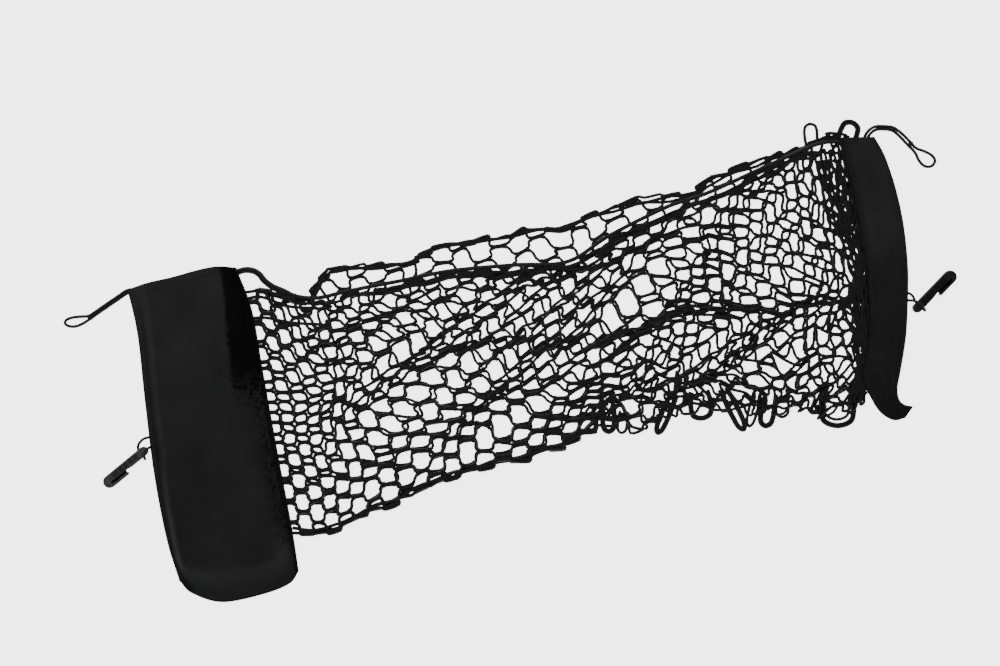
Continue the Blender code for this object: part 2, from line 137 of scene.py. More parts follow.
EDGE_ROUTE = at_height(
    4.9, (-358, 105), (-351, 108), (-342, 110.5), (-332, 109.5), (-324, 105), (-318, 97.5),
    (-308, 90), (-296, 85), (-284, 79), (-270, 76), (-252, 76), (-222, 83), (-188, 90),
    (-156, 96), (-96, 108), (-20, 115), (44, 119), (94, 150), (162, 184), (211, 201), (284, 234),
) + ((330, 254.6, 6.4), (350, 261.4, 6.4), (368, 262.6, 6.4), (384, 262.2, 7.0))
LEFT_LOOP_ROUTE = (
    (-479, 86, 2.0),
    *at_height(
        1.9, (-485.5, 84.0), (-493, 78.9), (-503, 72.1), (-513, 65.2), (-523, 58.3), (-530, 53.9),
        (-538, 53.4), (-547, 52.6), (-555, 50.2), (-558.4, 46.6), (-556, 42.8), (-548, 41.2),
        (-539, 43.8), (-528, 50.4), (-521, 55.5), (-511, 62.4), (-501, 69.3), (-491, 76.1),
        (-483.5, 81.2),
    ),
    (-477, 82.6, 2.0),
)
RIGHT_LOOP_ROUTE = (
    (398, 258, 4.2), (400, 268, 4.0), (405, 276, 2.6),
    *at_height(
        1.6, (413, 281), (424, 281.5), (435, 280), (445, 273), (454, 264), (462, 255.5),
        (471, 252), (480, 247.5), (485, 241), (481.5, 234), (473, 233.5), (466, 240), (461, 250),
        (452, 259.5), (442.5, 269.5), (434, 276.3), (424, 278), (414.5, 277.4),
    ),
    (407.4, 272.6, 2.6), (403.6, 266, 4.0), (401.6, 258, 4.2),
)
# Where the loops' two strands are bound together, and which way they run there
LEFT_LOOP_NECK = ((-528.5, 52.4, 1.9), (-8, -6, 0))
RIGHT_LOOP_NECK = ((455.5, 260.0, 1.9), (7, -8, 0))
LEFT_TETHER_ROUTE = (
    (-452.5, -92.0, 2.1), (-457.5, -91.6, 2.6), (-463.5, -93.2, 3.6), (-467.9, -97.2, 4.4),
    (-470.2, -102.0, 4.5), (-469.6, -106.8, 4.5), (-466.6, -110.5, 4.5), (-463.3, -114.6, 4.5),
    (-461.8, -116.5, 5.5), (-461.1, -117.3, 7.6), (-461.2, -116.2, 9.8), (-461.8, -112.6, 10.9),
    (-460.6, -108.0, 10.2), (-458.8, -105.2, 8.0), (-456.6, -103.6, 5.4), (-452.0, -102.6, 2.1),
)
RIGHT_TETHER_ROUTE = (
    (447.0, 81.8, 5.2), (453.2, 81.2, 5.2), (457.8, 77.8, 4.8), (460.0, 73.0, 4.5),
    (462.2, 69.8, 4.5), (465.8, 66.4, 4.5), (469.6, 62.8, 4.5), (471.2, 61.2, 5.4),
    (472.0, 60.4, 7.5), (471.3, 61.2, 9.8), (468.6, 64.2, 10.9), (463.6, 69.2, 10.7),
    (459.4, 71.9, 8.0), (454.4, 72.6, 5.6), (447.0, 72.6, 5.2),
)

HOOK_LENGTH = 54 * MM
HOOK_THICKNESS = 9 * MM
HOOK_SHANK = 11 * MM
HOOK_HEAD = 15.6 * MM
HOOK_LIP_LENGTH = 25 * MM
HOOK_SLIT = 2.4 * MM
HOOK_EDGE = 1.4 * MM
HOOK_HOLE = 3.6 * MM
HOOK_HOLE_AT = 4 * MM
# Top of the dark sheet of painted shade under the hook's slit
SLIT_SHADE_TOP = 0.8 * MM
HOOK_POCKETS = ((8.5, 14.5), (16, 22), (23.5, 29.5), (31, 37), (38.5, 47))
POCKET_WIDTH = 6 * MM
POCKET_CORNER = 1.2 * MM
POCKET_DEPTH = 0.9 * MM
CUTTER_OVER = 2 * MM
LEFT_HOOK = {"x": -463.5, "y": -108.0, "turn": 219.5, "lip": 1}
RIGHT_HOOK = {"x": 463.0, "y": 63.5, "turn": 46.0, "lip": -1}

# Netting: how the columns of knots are drawn together at the pouch and at the sleeve, as
# the column's width against that of the middle, and where along the length that holds
GATHER_AT = (0.0, 0.05, 0.12, 0.22, 0.84, 0.90, 0.94, 1.0)
GATHER_TO = (0.74, 0.76, 0.84, 1.0, 1.0, 0.60, 0.28, 0.22)
# The same at the lower edge, where more of the columns crowd into the right half
GATHER_LOW_AT = (0.0, 0.05, 0.12, 0.22, 0.50, 0.58, 0.90, 0.95, 1.0)
GATHER_LOW_TO = (0.74, 0.76, 0.84, 1.0, 1.0, 0.80, 0.74, 0.30, 0.24)
# How far short of its outline the netting ends below: it hangs in scallops on the right
SCALLOP_AT = (0.50, 0.54, 0.59, 0.635, 0.70, 0.755, 0.81, 0.855, 0.88, 0.92, 0.97, 1.0)
SCALLOP_DEPTH = (0.0, 0.10, 0.05, 0.09, 0.083, 0.097, 0.094, 0.084, 0.05, 0.07, 0.035, 0.06)
# Cords that run beside the sleeve where the netting is gathered into it
GATHERS = 5
GATHERS_FROM = 0.938
GATHERS_OVER = 0.036
GATHER_DRIFT = 0.003
GATHER_SEED = 3
# Loops of doubled cord that stand out past the edges: foot, tip, width, how many cords lie
# side by side in them, and the layer that they belong to
HANGING_LOOPS = (
    ((93, -60), (94, -86), 17, 2, 1), ((111, -68), (109, -86), 11, 1, 0),
    ((166, -54), (152, -87), 12, 2, 0), ((179, -26), (177, -58), 12, 1, 1),
    ((203, -46), (206, -70), 27, 2, 1), ((238, -48), (256, -83), 13, 2, 1),
    ((270, -46), (262, -78), 10, 1, 0), ((286, -52), (281, -79), 18, 2, 0),
    ((301, -48), (302, -67), 15, 1, 1), ((368, -44), (368, -79), 42, 2, 0),
    ((368, -42), (366, -70), 30, 1, 1), ((336, 266), (335, 284), 15, 1, 0),
    ((378, 265), (386, 287), 23, 2, 0),
)
# A loose loop's outline as shares of its width and of the way from foot to tip
LOOP_SHAPE = (
    (0.10, -0.45), (0.02, 0.0), (0.0, 0.45), (0.10, 0.84), (0.5, 1.0), (0.90, 0.84), (1.0, 0.45),
    (0.98, 0.0), (0.90, -0.45),
)
LOOP_SPACING = 1.5
# Cords along the long edges: where along they run and how far in from the edge, as shares.
# The lower one ends where the meshes begin to hang loose.
TOP_EDGE_ENDS = 0.93
TOP_EDGE_INSETS = (0.004, 0.014)
LOW_EDGE_STARTS = 0.02
LOW_EDGE_ENDS = 0.56
LOW_EDGE_INSETS = (0.016,)
EDGE_SWAY = 0.005
# Cords that fan out from the pouch's corner: shares across at the pouch and further on
POUCH_FANS = ((0.030, 0.020), (0.105, 0.080))
# The cord that lies beside the edge cord, from the pouch's corner
CORNER_ROUTE = at_height(
    4.9, (-356.9, 101.8), (-349.9, 104.8), (-341.7, 107.1), (-333.0, 106.2), (-326.2, 102.4),
    (-320.3, 95.0), (-309.7, 87.0),
) + ((-297.4, 81.9, 5.2), (-285.4, 75.9, 5.6))
# Direction in degrees of the meshes' thick sides, by share along and share across
SLANT_ALONG = (0.0, 0.25, 0.42, 0.58, 0.70, 1.0)
SLANT_ACROSS = (0.0, 0.12, 0.35, 0.60, 0.75, 1.0)
SLANTS = (
    (8, 14, 12, 22, 26, 20),
    (4, 14, 24, 26, 8, -6),
    (4, 18, 36, 34, 0, -10),
    (4, 16, 30, 26, 0, -4),
    (6, 10, 2, 2, 8, 14),
    (10, 10, 0, 4, 4, 4),
)
# Bands in which the rows of each layer bunch: where across at each of the places along,
# how wide, how strongly, and over which stretch of the length
FRONT_BANDS = (
    ((0.2, 0.51, 0.69, 0.83, 1.0), (0.37, 0.42, 0.49, 0.50, 0.61), 0.10, 0.66, (0.20, 1.02)),
    ((0.3, 0.8), (0.0, 0.0), 0.12, 0.55, (0.34, 0.86)),
    ((0.5, 1.0), (0.80, 0.76), 0.06, 0.55, (0.55, 0.95)),
    ((0.0, 0.4), (0.16, 0.12), 0.07, 0.5, (0.03, 0.40)),
)
BACK_BANDS = (
    ((0.2, 0.51, 0.69, 1.0), (0.42, 0.53, 0.54, 0.60), 0.08, 0.6, (0.30, 1.02)),
    ((0.35, 0.8), (0.22, 0.20), 0.10, 0.55, (0.36, 0.80)),
    ((0.3, 0.8), (0.0, 0.0), 0.05, 0.5, (0.20, 0.62)),
)
# Slow waves of both layers: turns along and across, and millimetres along and across
WAVES = (
    (1.2, 2.1, 7.0, 1.5), (2.3, 3.1, 5.0, 2.0), (3.4, 1.2, 3.0, 3.0), (5.1, 2.4, 2.5, 2.4),
    (7.7, 3.9, 2.0, 2.0), (11.3, 5.2, 1.4, 1.5),
)
WAVES_SEED = 7
# How far each layer's waves differ from the other's, and how far the back layer lies to the right
LAYER_PHASE = 0.2
BACK_SHIFT = 8.0
# Knots: how far they stray and turn, in millimetres and radians, and by how much more they do
# in the loose part at the lower right
KNOT_DRIFT = (1.4, 1.1)
KNOT_TURN = 0.12
KNOT_RISE = (-0.3, 0.5)
LOOSE_DRIFT = 0.8
LOOSE_TURN = 1.6
# How far the bars turn to the meshes' slant, at the edges and inside
TURNING = (0.3, 0.9)
# Bars, where two cords lie side by side: half their length as a share of the way to the next
# column, where the bindings sit on them, and half the cords' distance in diameters
BAR_SHARE = (0.37, 0.46)
BINDING_AT = 0.82
PAIR_OFFSET = 0.47

FLOOR_UNDER = 0.2 * MM
WHITE = (1.0, 1.0, 1.0, 1.0)
# Soft lights: name, place, size in metres and share of the power
SOFT_LIGHTS = (
    ("key_light", (-1.0, 0.9, 2.3), 1.6, 0.9),
    ("fill_light", (1.2, -1.3, 1.9), 2.0, 0.25),
    ("top_light", (0.0, 0.3, 3.0), 2.4, 0.7),
)

CURVE_STEPS = 12
BRAID_STRANDS = 3
THREAD = 0.7 * MM
# A stitch's length as a share of their pitch
STITCH_LENGTH = 0.72
STITCH_LIFT = CLOTH / 2 + 0.1 * MM
HEM_DEPTH = 13 * MM
HEM_RISE = 0.5 * MM
HEM_SEAM = 11 * MM
# Short puckers along the pouch's right edge, in millimetres from one to the next
PUCKER_PITCH = 13
# Where along the sleeve a crease runs across it
CREASE_AT = 0.545
CORD_TREE = "Cord and bindings"
STITCH_TREE = "Stitches"


# --- curves and surfaces


def rounded(points, steps):
    """A smooth line through the points, with a number of steps from each to the next."""
    knots = np.vstack([2 * points[0] - points[1], points, 2 * points[-1] - points[-2]])
    t = (np.arange(steps) / steps)[:, None]
    line = []
    for a, b, c, d in zip(knots, knots[1:], knots[2:], knots[3:]):
        bend = (c - a) * t + (2 * a - 5 * b + 4 * c - d) * t**2 + (3 * b - a - 3 * c + d) * t**3
        line.extend(b + bend / 2)
    line.append(points[-1])
    return np.array(line)


def smooth(points):
    """A function from shares 0..1 to evenly timed points of a smooth curve through points."""
    line = rounded(np.array([(*point, 0.0)[:3] for point in points], float) * MM, CURVE_STEPS)
    run = np.concatenate([[0.0], np.cumsum(np.linalg.norm(np.diff(line, axis=0), axis=1))])

    def at(share):
        wanted = np.clip(share, 0.0, 1.0) * run[-1]
        return np.stack([np.interp(wanted, run, line[:, k]) for k in range(3)], axis=-1)

    at.length = float(run[-1])
    return at


def patch(left, right, top, bottom):
    """A function from (u, v) to a point of the area inside four smooth sides."""
    left, right, top, bottom = (smooth(side) for side in (left, right, top, bottom))

    def at(u, v):
        u, v = np.broadcast_arrays(np.asarray(u, float), np.asarray(v, float))
        across, down = u[..., None], v[..., None]
        sides = left(v) * (1 - across) + right(v) * across
        ends = top(u) * (1 - down) + bottom(u) * down
        upper = top(0.0) * (1 - across) + top(1.0) * across
        lower = bottom(0.0) * (1 - across) + bottom(1.0) * across
        return sides + ends - upper * (1 - down) - lower * down

    return at


def ease(t):
    """A smooth step from 0 to 1."""
    t = np.clip(t, 0.0, 1.0)
    return t * t * (3 - 2 * t)


def rising(value, start, over):
    """A smooth step from 0 to 1 that begins at a value and ends that much further on."""
    return ease((value - start) / over)


def swelling(share, rate):
    """1 in the middle, and eased down to 0 at shares 0 and 1."""
    return ease(share * rate) * ease((1 - share) * rate)


def mix(a, b, t):
    return a + (b - a) * t


def between(values, share):
    """The value at a share of the way along evenly spaced ones."""
    return np.interp(share, np.linspace(0.0, 1.0, len(values)), values)


def bell(away, spread):
    return np.exp(-((away / spread) ** 2))


def shares_grid(columns, rows):
    return np.meshgrid(np.linspace(0, 1, columns + 1), np.linspace(0, 1, rows + 1))


# --- objects


def add_object(name, data):
    made = bpy.data.objects.new(name, data)
    bpy.context.scene.collection.objects.link(made)
    return made


def settle(obj):
    """Turn what an object's modifiers make into its own plain mesh, and remove them."""
    graph = bpy.context.evaluated_depsgraph_get()
    mesh = bpy.data.meshes.new_from_object(obj.evaluated_get(graph))
    obj.modifiers.clear()
    obj.data = mesh
    mesh.name = obj.name
    if not len(mesh.polygons):
        raise RuntimeError(f"{obj.name} came out with no faces")
    return obj


def hand_over(obj, slot, *nodes):
    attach(obj, BODY)
    if nodes:
        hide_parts(*nodes)
    return obj


def grid_mesh(name, points, marks):
    """A mesh of the grid points[row, column], with its UV map in metres along the cloth."""
    rows, columns = points.shape[:2]
    index = np.arange(rows * columns).reshape(rows, columns)
    corners = (index[:-1, :-1], index[1:, :-1], index[1:, 1:], index[:-1, 1:])
    faces = np.stack([corner.ravel() for corner in corners], axis=1)
    mesh = bpy.data.meshes.new(name)
    mesh.from_pydata(points.reshape(-1, 3).tolist(), [], faces.tolist())
    across = np.linalg.norm(np.diff(points, axis=1), axis=2)
    down = np.linalg.norm(np.diff(points, axis=0), axis=2)
    width = np.hstack([np.zeros((rows, 1)), np.cumsum(across, axis=1)])
    height = np.vstack([np.zeros((1, columns)), np.cumsum(down, axis=0)])
    flat = np.stack([width, height], axis=-1).reshape(-1, 2)
    loops = np.zeros(len(mesh.loops), int)
    mesh.loops.foreach_get("vertex_index", loops)
    mesh.uv_layers.new(name="Cloth").data.foreach_set("uv", flat[loops].ravel())
    for mark, values in marks.items():
        layer = mesh.attributes.new(mark, "FLOAT", "POINT")
        layer.data.foreach_set("value", values.astype(np.float32).ravel())
    mesh.shade_smooth()
    return mesh


def cloth_piece(name, points, finish, **marks):
    """A sheet of cloth through the grid points, given its thickness."""
    made = add_object(name, grid_mesh(name, points, marks))
    made.data.materials.append(finish)
    solid = made.modifiers.new("Thickness", "SOLIDIFY")
    solid.thickness = CLOTH
    solid.offset = 0.0
    solid.use_even_offset = True
    solid.use_quality_normals = True
    return settle(made)


def line_mesh(name, lines, joints=()):
    """A mesh of polylines, and of lone points for joints, each given as (place, direction)."""
    points, edges = [], []
    for line in lines:
        first = len(points)
        points += [tuple(point) for point in line]
        edges += [(k, k + 1) for k in range(first, len(points) - 1)]
    loose = len(points)
    points += [tuple(place) for place, _ in joints]
    mesh = bpy.data.meshes.new(name)
    mesh.from_pydata(points, edges, [])
    marks = mesh.attributes.new("joint", "FLOAT", "POINT")
    marks.data.foreach_set("value", [0.0] * loose + [1.0] * len(joints))
    aims = mesh.attributes.new("aim", "FLOAT_VECTOR", "POINT")
    towards = [(1.0, 0.0, 0.0)] * loose + [tuple(aim) for _, aim in joints]
    aims.data.foreach_set("vector", np.array(towards, float).ravel())
    return mesh


# --- Geometry Nodes


def new_tree(name, sizes):
    """An empty Geometry Nodes tree with a geometry, the named sizes and a material to set."""
    tree = bpy.data.node_groups.new(name, "GeometryNodeTree")
    for label, kind in {"Geometry": "Geometry", **sizes, "Material": "Material"}.items():
        tree.interface.new_socket(label, in_out="INPUT", socket_type="NodeSocket" + kind)
    tree.interface.new_socket("Geometry", in_out="OUTPUT", socket_type="NodeSocketGeometry")
    return tree


def plug(tree, node, inputs):
    """Fill inputs of a node, given by number or name, each with a socket to link or a value."""
    for key, value in inputs.items():
        if isinstance(value, bpy.types.NodeSocket):
            tree.links.new(value, node.inputs[key])
        else:
            node.inputs[key].default_value = value


def add_node(tree, kind, inputs=None, **settings):
    node = tree.nodes.new(kind)
    for key, value in settings.items():
        setattr(node, key, value)
    plug(tree, node, inputs or {})
    return node


def first_out(tree, kind, inputs=None, **settings):
    """The first output of a new node."""
    return add_node(tree, kind, inputs, **settings).outputs[0]


def maths(tree, operation, a, b=0.0):
    return first_out(tree, "ShaderNodeMath", {0: a, 1: b}, operation=operation)


def circle(tree, sides, radius):
    return first_out(tree, "GeometryNodeCurvePrimitiveCircle", {0: sides, 4: radius}, mode="RADIUS")


def keep(tree, shape, name, value, kind):
    """A shape whose points carry a value under a name."""
    inputs = {0: shape, 2: name, 3: value}
    return first_out(
        tree, "GeometryNodeStoreNamedAttribute", inputs, data_type=kind, domain="POINT"
    )


def kept(tree, name, kind):
    return first_out(tree, "GeometryNodeInputNamedAttribute", {0: name}, data_type=kind)


def resized(tree, shape, x, y, z):
    sizes = first_out(tree, "ShaderNodeCombineXYZ", {0: x, 1: y, 2: z})
    return first_out(tree, "GeometryNodeTransform", {0: shape, 3: sizes})


def copies(tree, places, shape, aim, chosen=True):
    """Copies of a shape on points, each with its X axis turned to the point's aim."""
    turned = first_out(tree, "FunctionNodeAlignRotationToVector", {2: aim}, axis="X")
    inputs = {0: places, 1: chosen, 2: shape, 5: turned}
    return first_out(tree, "GeometryNodeInstanceOnPoints", inputs)


def end_tree(tree, shape, material):
    """End a tree in one smooth-shaded mesh with its material."""
    real = first_out(tree, "GeometryNodeRealizeInstances", {0: shape})
    soft = first_out(tree, "GeometryNodeSetShadeSmooth", {0: real})
    done = first_out(tree, "GeometryNodeSetMaterial", {0: soft, 2: material})
    add_node(tree, "NodeGroupOutput", {0: done})
    return tree


def cord_tree():
    """Round cord along every edge line, and a binding round the cords at every joint."""
    tree = new_tree(CORD_TREE, {
        "Diameter": "Float", "Sides": "Int",
        "Binding length": "Float", "Binding thickness": "Float",
    })
    given = add_node(tree, "NodeGroupInput").outputs
    radius = maths(tree, "MULTIPLY", given["Diameter"], 0.5)
    lines = first_out(tree, "GeometryNodeMeshToCurve", {0: given["Geometry"]})
    run = add_node(tree, "GeometryNodeSplineParameter").outputs["Length"]
    lines = keep(tree, lines, "along", run, "FLOAT")
    place = first_out(tree, "GeometryNodeInputPosition")
    ring = keep(tree, circle(tree, given["Sides"], radius), "ring", place, "FLOAT_VECTOR")
    cords = first_out(tree, "GeometryNodeCurveToMesh", {0: lines, 1: ring, 3: True})

    # One binding: a flat band round two cords that lie side by side
    hoop = resized(tree, circle(tree, 8, radius), 1.86, 1.06, 1.0)
    section = circle(tree, 3, 0.6)
    section = resized(tree, section, given["Binding thickness"], given["Binding length"], 1.0)
    band = first_out(tree, "GeometryNodeCurveToMesh", {0: hoop, 1: section, 3: False})
    quarter = math.radians(90)
    upright = first_out(tree, "GeometryNodeTransform", {0: band, 2: (quarter, 0.0, quarter)})
    chosen = first_out(
        tree, "FunctionNodeCompare", {0: kept(tree, "joint", "FLOAT"), 1: 0.5},
        data_type="FLOAT", operation="GREATER_THAN",
    )
    aim = kept(tree, "aim", "FLOAT_VECTOR")
    bands = copies(tree, given["Geometry"], upright, aim, chosen)
    both = tree.nodes.new("GeometryNodeJoinGeometry")
    for shape in (bands, cords):
        tree.links.new(shape, both.inputs[0])
    return end_tree(tree, both.outputs[0], given["Material"])


def stitch_tree():
    """A stitch of thread at every step of the edge lines."""
    tree = new_tree(STITCH_TREE, {"Pitch": "Float", "Length": "Float", "Thread": "Float"})
    given = add_node(tree, "NodeGroupInput").outputs
    lines = first_out(tree, "GeometryNodeMeshToCurve", {0: given["Geometry"]})
    steps = add_node(
        tree, "GeometryNodeCurveToPoints", {0: lines, 2: given["Pitch"]}, mode="LENGTH"
    ).outputs
    bead = first_out(tree, "GeometryNodeMeshUVSphere", {0: 6, 1: 4, 2: 0.5})
    bead = resized(tree, bead, given["Length"], given["Thread"], given["Thread"])
    stitches = copies(tree, steps["Points"], bead, steps["Tangent"])
    return end_tree(tree, stitches, given["Material"])


def grow(name, mesh, tree, values):
    """A piece that a Geometry Nodes tree makes from the lines of a mesh."""
    made = add_object(name, mesh)
    nodes = made.modifiers.new("Nodes", "NODES")
    nodes.node_group = tree
    for item in tree.interface.items_tree:
        if item.in_out == "INPUT" and item.name in values:
            nodes[item.identifier] = values[item.name]
    return settle(made)


# --- materials


def new_material(name):
    made = bpy.data.materials.new(name)
    made.use_nodes = True
    return made, made.node_tree, made.node_tree.nodes["Principled BSDF"]


def on_object(tree):
    """Object coordinates."""
    return add_node(tree, "ShaderNodeTexCoord").outputs["Object"]


def stored(tree, name, output="Fac"):
    """A value that the mesh carries under a name."""
    return add_node(tree, "ShaderNodeAttribute", attribute_name=name).outputs[output]


def ramp(tree, factor, stops):
    node = add_node(tree, "ShaderNodeValToRGB", {0: factor})
    for element, (place, value) in zip(node.color_ramp.elements, stops):
        element.position = place
        element.color = (value, value, value, 1.0)
    return node.outputs[0]


def ranged(tree, factor, low, high):
    return first_out(tree, "ShaderNodeMapRange", {0: factor, 3: low, 4: high})


def noise(tree, where, scale, detail=3.0, roughness=0.55):
    inputs = {"Vector": where, "Scale": scale, "Detail": detail, "Roughness": roughness}
    return first_out(tree, "ShaderNodeTexNoise", inputs)


def scaled(colour, factor):
    return tuple(factor * value for value in colour)


def tint(tree, factor, dark, light):
    """A colour between two, each given as a colour or a socket."""
    ends = [end if isinstance(end, bpy.types.NodeSocket) else (*end, 1.0) for end in (dark, light)]
    inputs = {0: factor, 6: ends[0], 7: ends[1]}
    return add_node(tree, "ShaderNodeMix", inputs, data_type="RGBA").outputs[2]


def bump(tree, height, distance, strength=1.0, under=None):
    node = add_node(
        tree, "ShaderNodeBump", {"Strength": strength, "Distance": distance, "Height": height}
    )
    if under is not None:
        plug(tree, node, {"Normal": under})
    return node.outputs[0]


def cloth_material(name, colour, pitch):
    """Woven cloth: a plain weave on the UV map, a little uneven, with painted shade where the shade
    mark is 1, and dark specks where the specks mark is, some of them a ragged edge to that shade."""
    made, tree, shader = new_material(name)
    body = on_object(tree)
    axes = add_node(
        tree, "ShaderNodeSeparateXYZ", {0: first_out(tree, "ShaderNodeUVMap", uv_map="Cloth")}
    ).outputs
    turns = 2 * math.pi / pitch
    warp, weft = (maths(tree, "SINE", maths(tree, "MULTIPLY", axes[k], turns)) for k in (0, 1))
    weave = maths(tree, "MULTIPLY", warp, weft)
    cloudy = noise(tree, body, 22.0, 4.0)
    blend = maths(tree, "ADD", maths(tree, "MULTIPLY", weave, 0.16), cloudy)
    face = tint(tree, blend, scaled(colour, 0.55), scaled(colour, 1.5))
    specks = ramp(tree, noise(tree, body, 210.0), ((0.50, 0.0), (0.60, 1.0)))
    # The shade mark is painted shade. The dark specks added to it fringe that shade's edge on the
    # pouch and run along the pouch's lower right edge
    speckled = maths(tree, "MULTIPLY", stored(tree, "wear"), specks)
    shade = maths(tree, "ADD", stored(tree, "shade"), speckled)
    shade = first_out(tree, "ShaderNodeClamp", {0: shade})
    fuzz = bump(tree, noise(tree, body, 1400.0, 2.0), 0.00012)
    plug(tree, shader, {
        "Base Color": tint(tree, shade, face, scaled(colour, 0.10)),
        "Roughness": ranged(tree, cloudy, 0.82, 0.98),
        "Specular IOR Level": 0.08,
        "Normal": bump(tree, weave, 0.00022, 0.8, fuzz),
    })
    return made


def cord_material(name, colour, pitch):
    """Braided cord: strands that run round it both ways, from the tree's along and ring."""
    made, tree, shader = new_material(name)
    body = on_object(tree)
    axes = add_node(tree, "ShaderNodeSeparateXYZ", {0: stored(tree, "ring", "Vector")}).outputs
    angle = maths(tree, "ARCTAN2", axes[1], axes[0])
    round_it = maths(tree, "MULTIPLY", angle, float(BRAID_STRANDS))
    run = maths(tree, "MULTIPLY", stored(tree, "along"), 2 * math.pi / pitch)
    ways = [maths(tree, "SINE", maths(tree, way, run, round_it)) for way in ("ADD", "SUBTRACT")]
    braid = maths(tree, "MAXIMUM", *ways)
    cloudy = noise(tree, body, 60.0)
    blend = maths(tree, "ADD", maths(tree, "MULTIPLY", braid, 0.2), cloudy)
    fuzz = bump(tree, noise(tree, body, 900.0), 0.0001)
    plug(tree, shader, {
        "Base Color": tint(tree, blend, scaled(colour, 0.5), scaled(colour, 1.7)),
        "Roughness": ranged(tree, cloudy, 0.55, 0.8),
        "Specular IOR Level": 0.3,
        "Normal": bump(tree, braid, 0.0002, 0.9, fuzz),
    })
    return made


def plastic_material(name, colour, specular):
    """Moulded plastic: fine pitted grain with pale scuffs, and painted shade, nearly black, on all
    that lies below its upper face.
    """
    made, tree, shader = new_material(name)
    body = on_object(tree)
    specks = noise(tree, body, 260.0, 5.0, 0.7)
    scuffs = ramp(tree, specks, ((0.48, 0.0), (0.66, 1.0)))
    face = tint(tree, scuffs, colour, scaled(colour, 2.6))
    plug(tree, shader, {
        "Base Color": tint(tree, stored(tree, "side_shade"), face, (0.0025, 0.0025, 0.0025)),
        "Roughness": ranged(tree, specks, 0.45, 0.75),
        "Specular IOR Level": specular,
        "Normal": bump(tree, noise(tree, body, 700.0, 4.0), 0.00015, 0.7),
    })
    return made


def thread_material(name, colour):
    """Sewing thread: two plies that twist round each other, on Object coordinates."""
    made, tree, shader = new_material(name)
    inputs = {"Vector": on_object(tree), "Scale": 900.0, "Distortion": 1.5}
    plies = add_node(tree, "ShaderNodeTexWave", inputs, bands_direction="DIAGONAL").outputs[1]
    plug(tree, shader, {
        "Base Color": tint(tree, plies, colour, scaled(colour, 2.0)),
        "Roughness": 0.8,
        "Specular IOR Level": 0.12,
        "Normal": bump(tree, plies, 0.0001),
    })
    return made


# --- stage


def set_stage(settings):
    """A pale floor, soft lights and the camera straight above the net."""
    edge = settings.floor_size / 2
    corners = ((-edge, -edge), (edge, -edge), (edge, edge), (-edge, edge))
    mesh = bpy.data.meshes.new("floor")
    mesh.from_pydata([(x, y, -FLOOR_UNDER) for x, y in corners], [], [(0, 1, 2, 3)])
    floor = add_object("floor", mesh)
    paper, tree, shader = new_material("Floor paper")
    mottled = noise(tree, on_object(tree), 4.0, 2.0)
    plug(tree, shader, {
        "Base Color": tint(tree, mottled, (0.86, 0.86, 0.86), (0.9, 0.9, 0.9)),
        "Roughness": 0.9,
        "Specular IOR Level": 0.1,
        "Emission Color": WHITE,
        "Emission Strength": settings.floor_glow,
    })
    mesh.materials.append(paper)

    world = bpy.data.worlds.new("Studio")
    world.use_nodes = True
    backdrop = world.node_tree.nodes["Background"]
    plug(world.node_tree, backdrop, {"Color": WHITE, "Strength": settings.backdrop})
    bpy.context.scene.world = world

    for name, place, size, share in SOFT_LIGHTS:
        light = bpy.data.lights.new(name, "AREA")
        light.shape = "DISK"
        light.size = size
        light.energy = settings.light_power * share
        lamp = add_object(name, light)
        lamp.location = place
        lamp.rotation_euler = (-Vector(place)).to_track_quat("-Z", "Y").to_euler()

    camera = bpy.data.cameras.new("camera")
    camera.sensor_width = 36.0
    camera.lens = camera.sensor_width * settings.camera_height / settings.view_width
    seat = add_object("camera", camera)
    seat.location = (*settings.view_centre, settings.camera_height)
    bpy.context.scene.camera = seat


# --- cords


def lay_cord(name, node, route, diameter, neck, tree, finish):
    """A braided cord along a route."""
    at = smooth(route)
    points = at(np.linspace(0.0, 1.0, max(8, round(at.length / (diameter * 0.7))) + 1))
    values = {
        "Diameter": diameter, "Sides": 14, "Binding length": 5 * MM, "Binding thickness": 1.2 * MM,
        "Material": finish,
    }
    joints = [(Vector(neck[0]) * MM, Vector(neck[1]).normalized())] if neck else []
    made = grow(name, line_mesh(name, [points], joints), tree, values)
    hand_over(made, "elastic_cord", node)


def lay_cords(settings):
    tree = cord_tree()
    finish = cord_material("Braided elastic", tuple(settings.colour), 2.2 * MM)
    loop, tether, edge = settings.loop_diameter, settings.tether_diameter, settings.edge_diameter
    for name, node, route, diameter, neck in (
        ("left_loop_cord", "corner_loop_left", LEFT_LOOP_ROUTE, loop, LEFT_LOOP_NECK),
        ("right_loop_cord", "corner_loop_right", RIGHT_LOOP_ROUTE, loop, RIGHT_LOOP_NECK),
        ("left_tether_cord", "hook_tether_left", LEFT_TETHER_ROUTE, tether, None),
        ("right_tether_cord", "hook_tether_right", RIGHT_TETHER_ROUTE, tether, None),
        ("top_edge_cord", "edge_cord", EDGE_ROUTE, edge, None),
    ):
        lay_cord(name, node, route, diameter, neck, tree, finish)


# --- netting


def cord_height(u, layer, radius):
    """Height of a layer's cords: on one another, and squeezed together inside the cloth."""
    lying = radius * (1 + 2 * layer)
    tucked = mix(CLOTH + radius, SEAM_HIGH - CLOTH / 2 - radius, layer)
    return mix(tucked, lying, lying_share(u))


def lying_share(u):
    """1 where the netting lies on the surface, and 0 where its ends are tucked into cloth."""
    from_pouch = u * NET_LENGTH - POUCH_TUCK
    from_sleeve = (1 - u) * NET_LENGTH - SLEEVE_TUCK
    return ease(np.minimum(from_pouch, from_sleeve) / CLIMB)


def layer_height(u, v, layer, radius):
    """Height of a layer's cords, with the front layer's folds."""
    height = cord_height(u, layer, radius) + np.zeros_like(v)
    for fold in FOLDS if layer else ():
        start, end = fold["along"]
        share = (u - start) / (end - start)
        away = v - mix(*fold["across"], share)
        swell = swelling(share, 5) * lying_share(u)
        height = height + fold["height"] * MM * bell(away, fold["spread"]) * swell
    return height


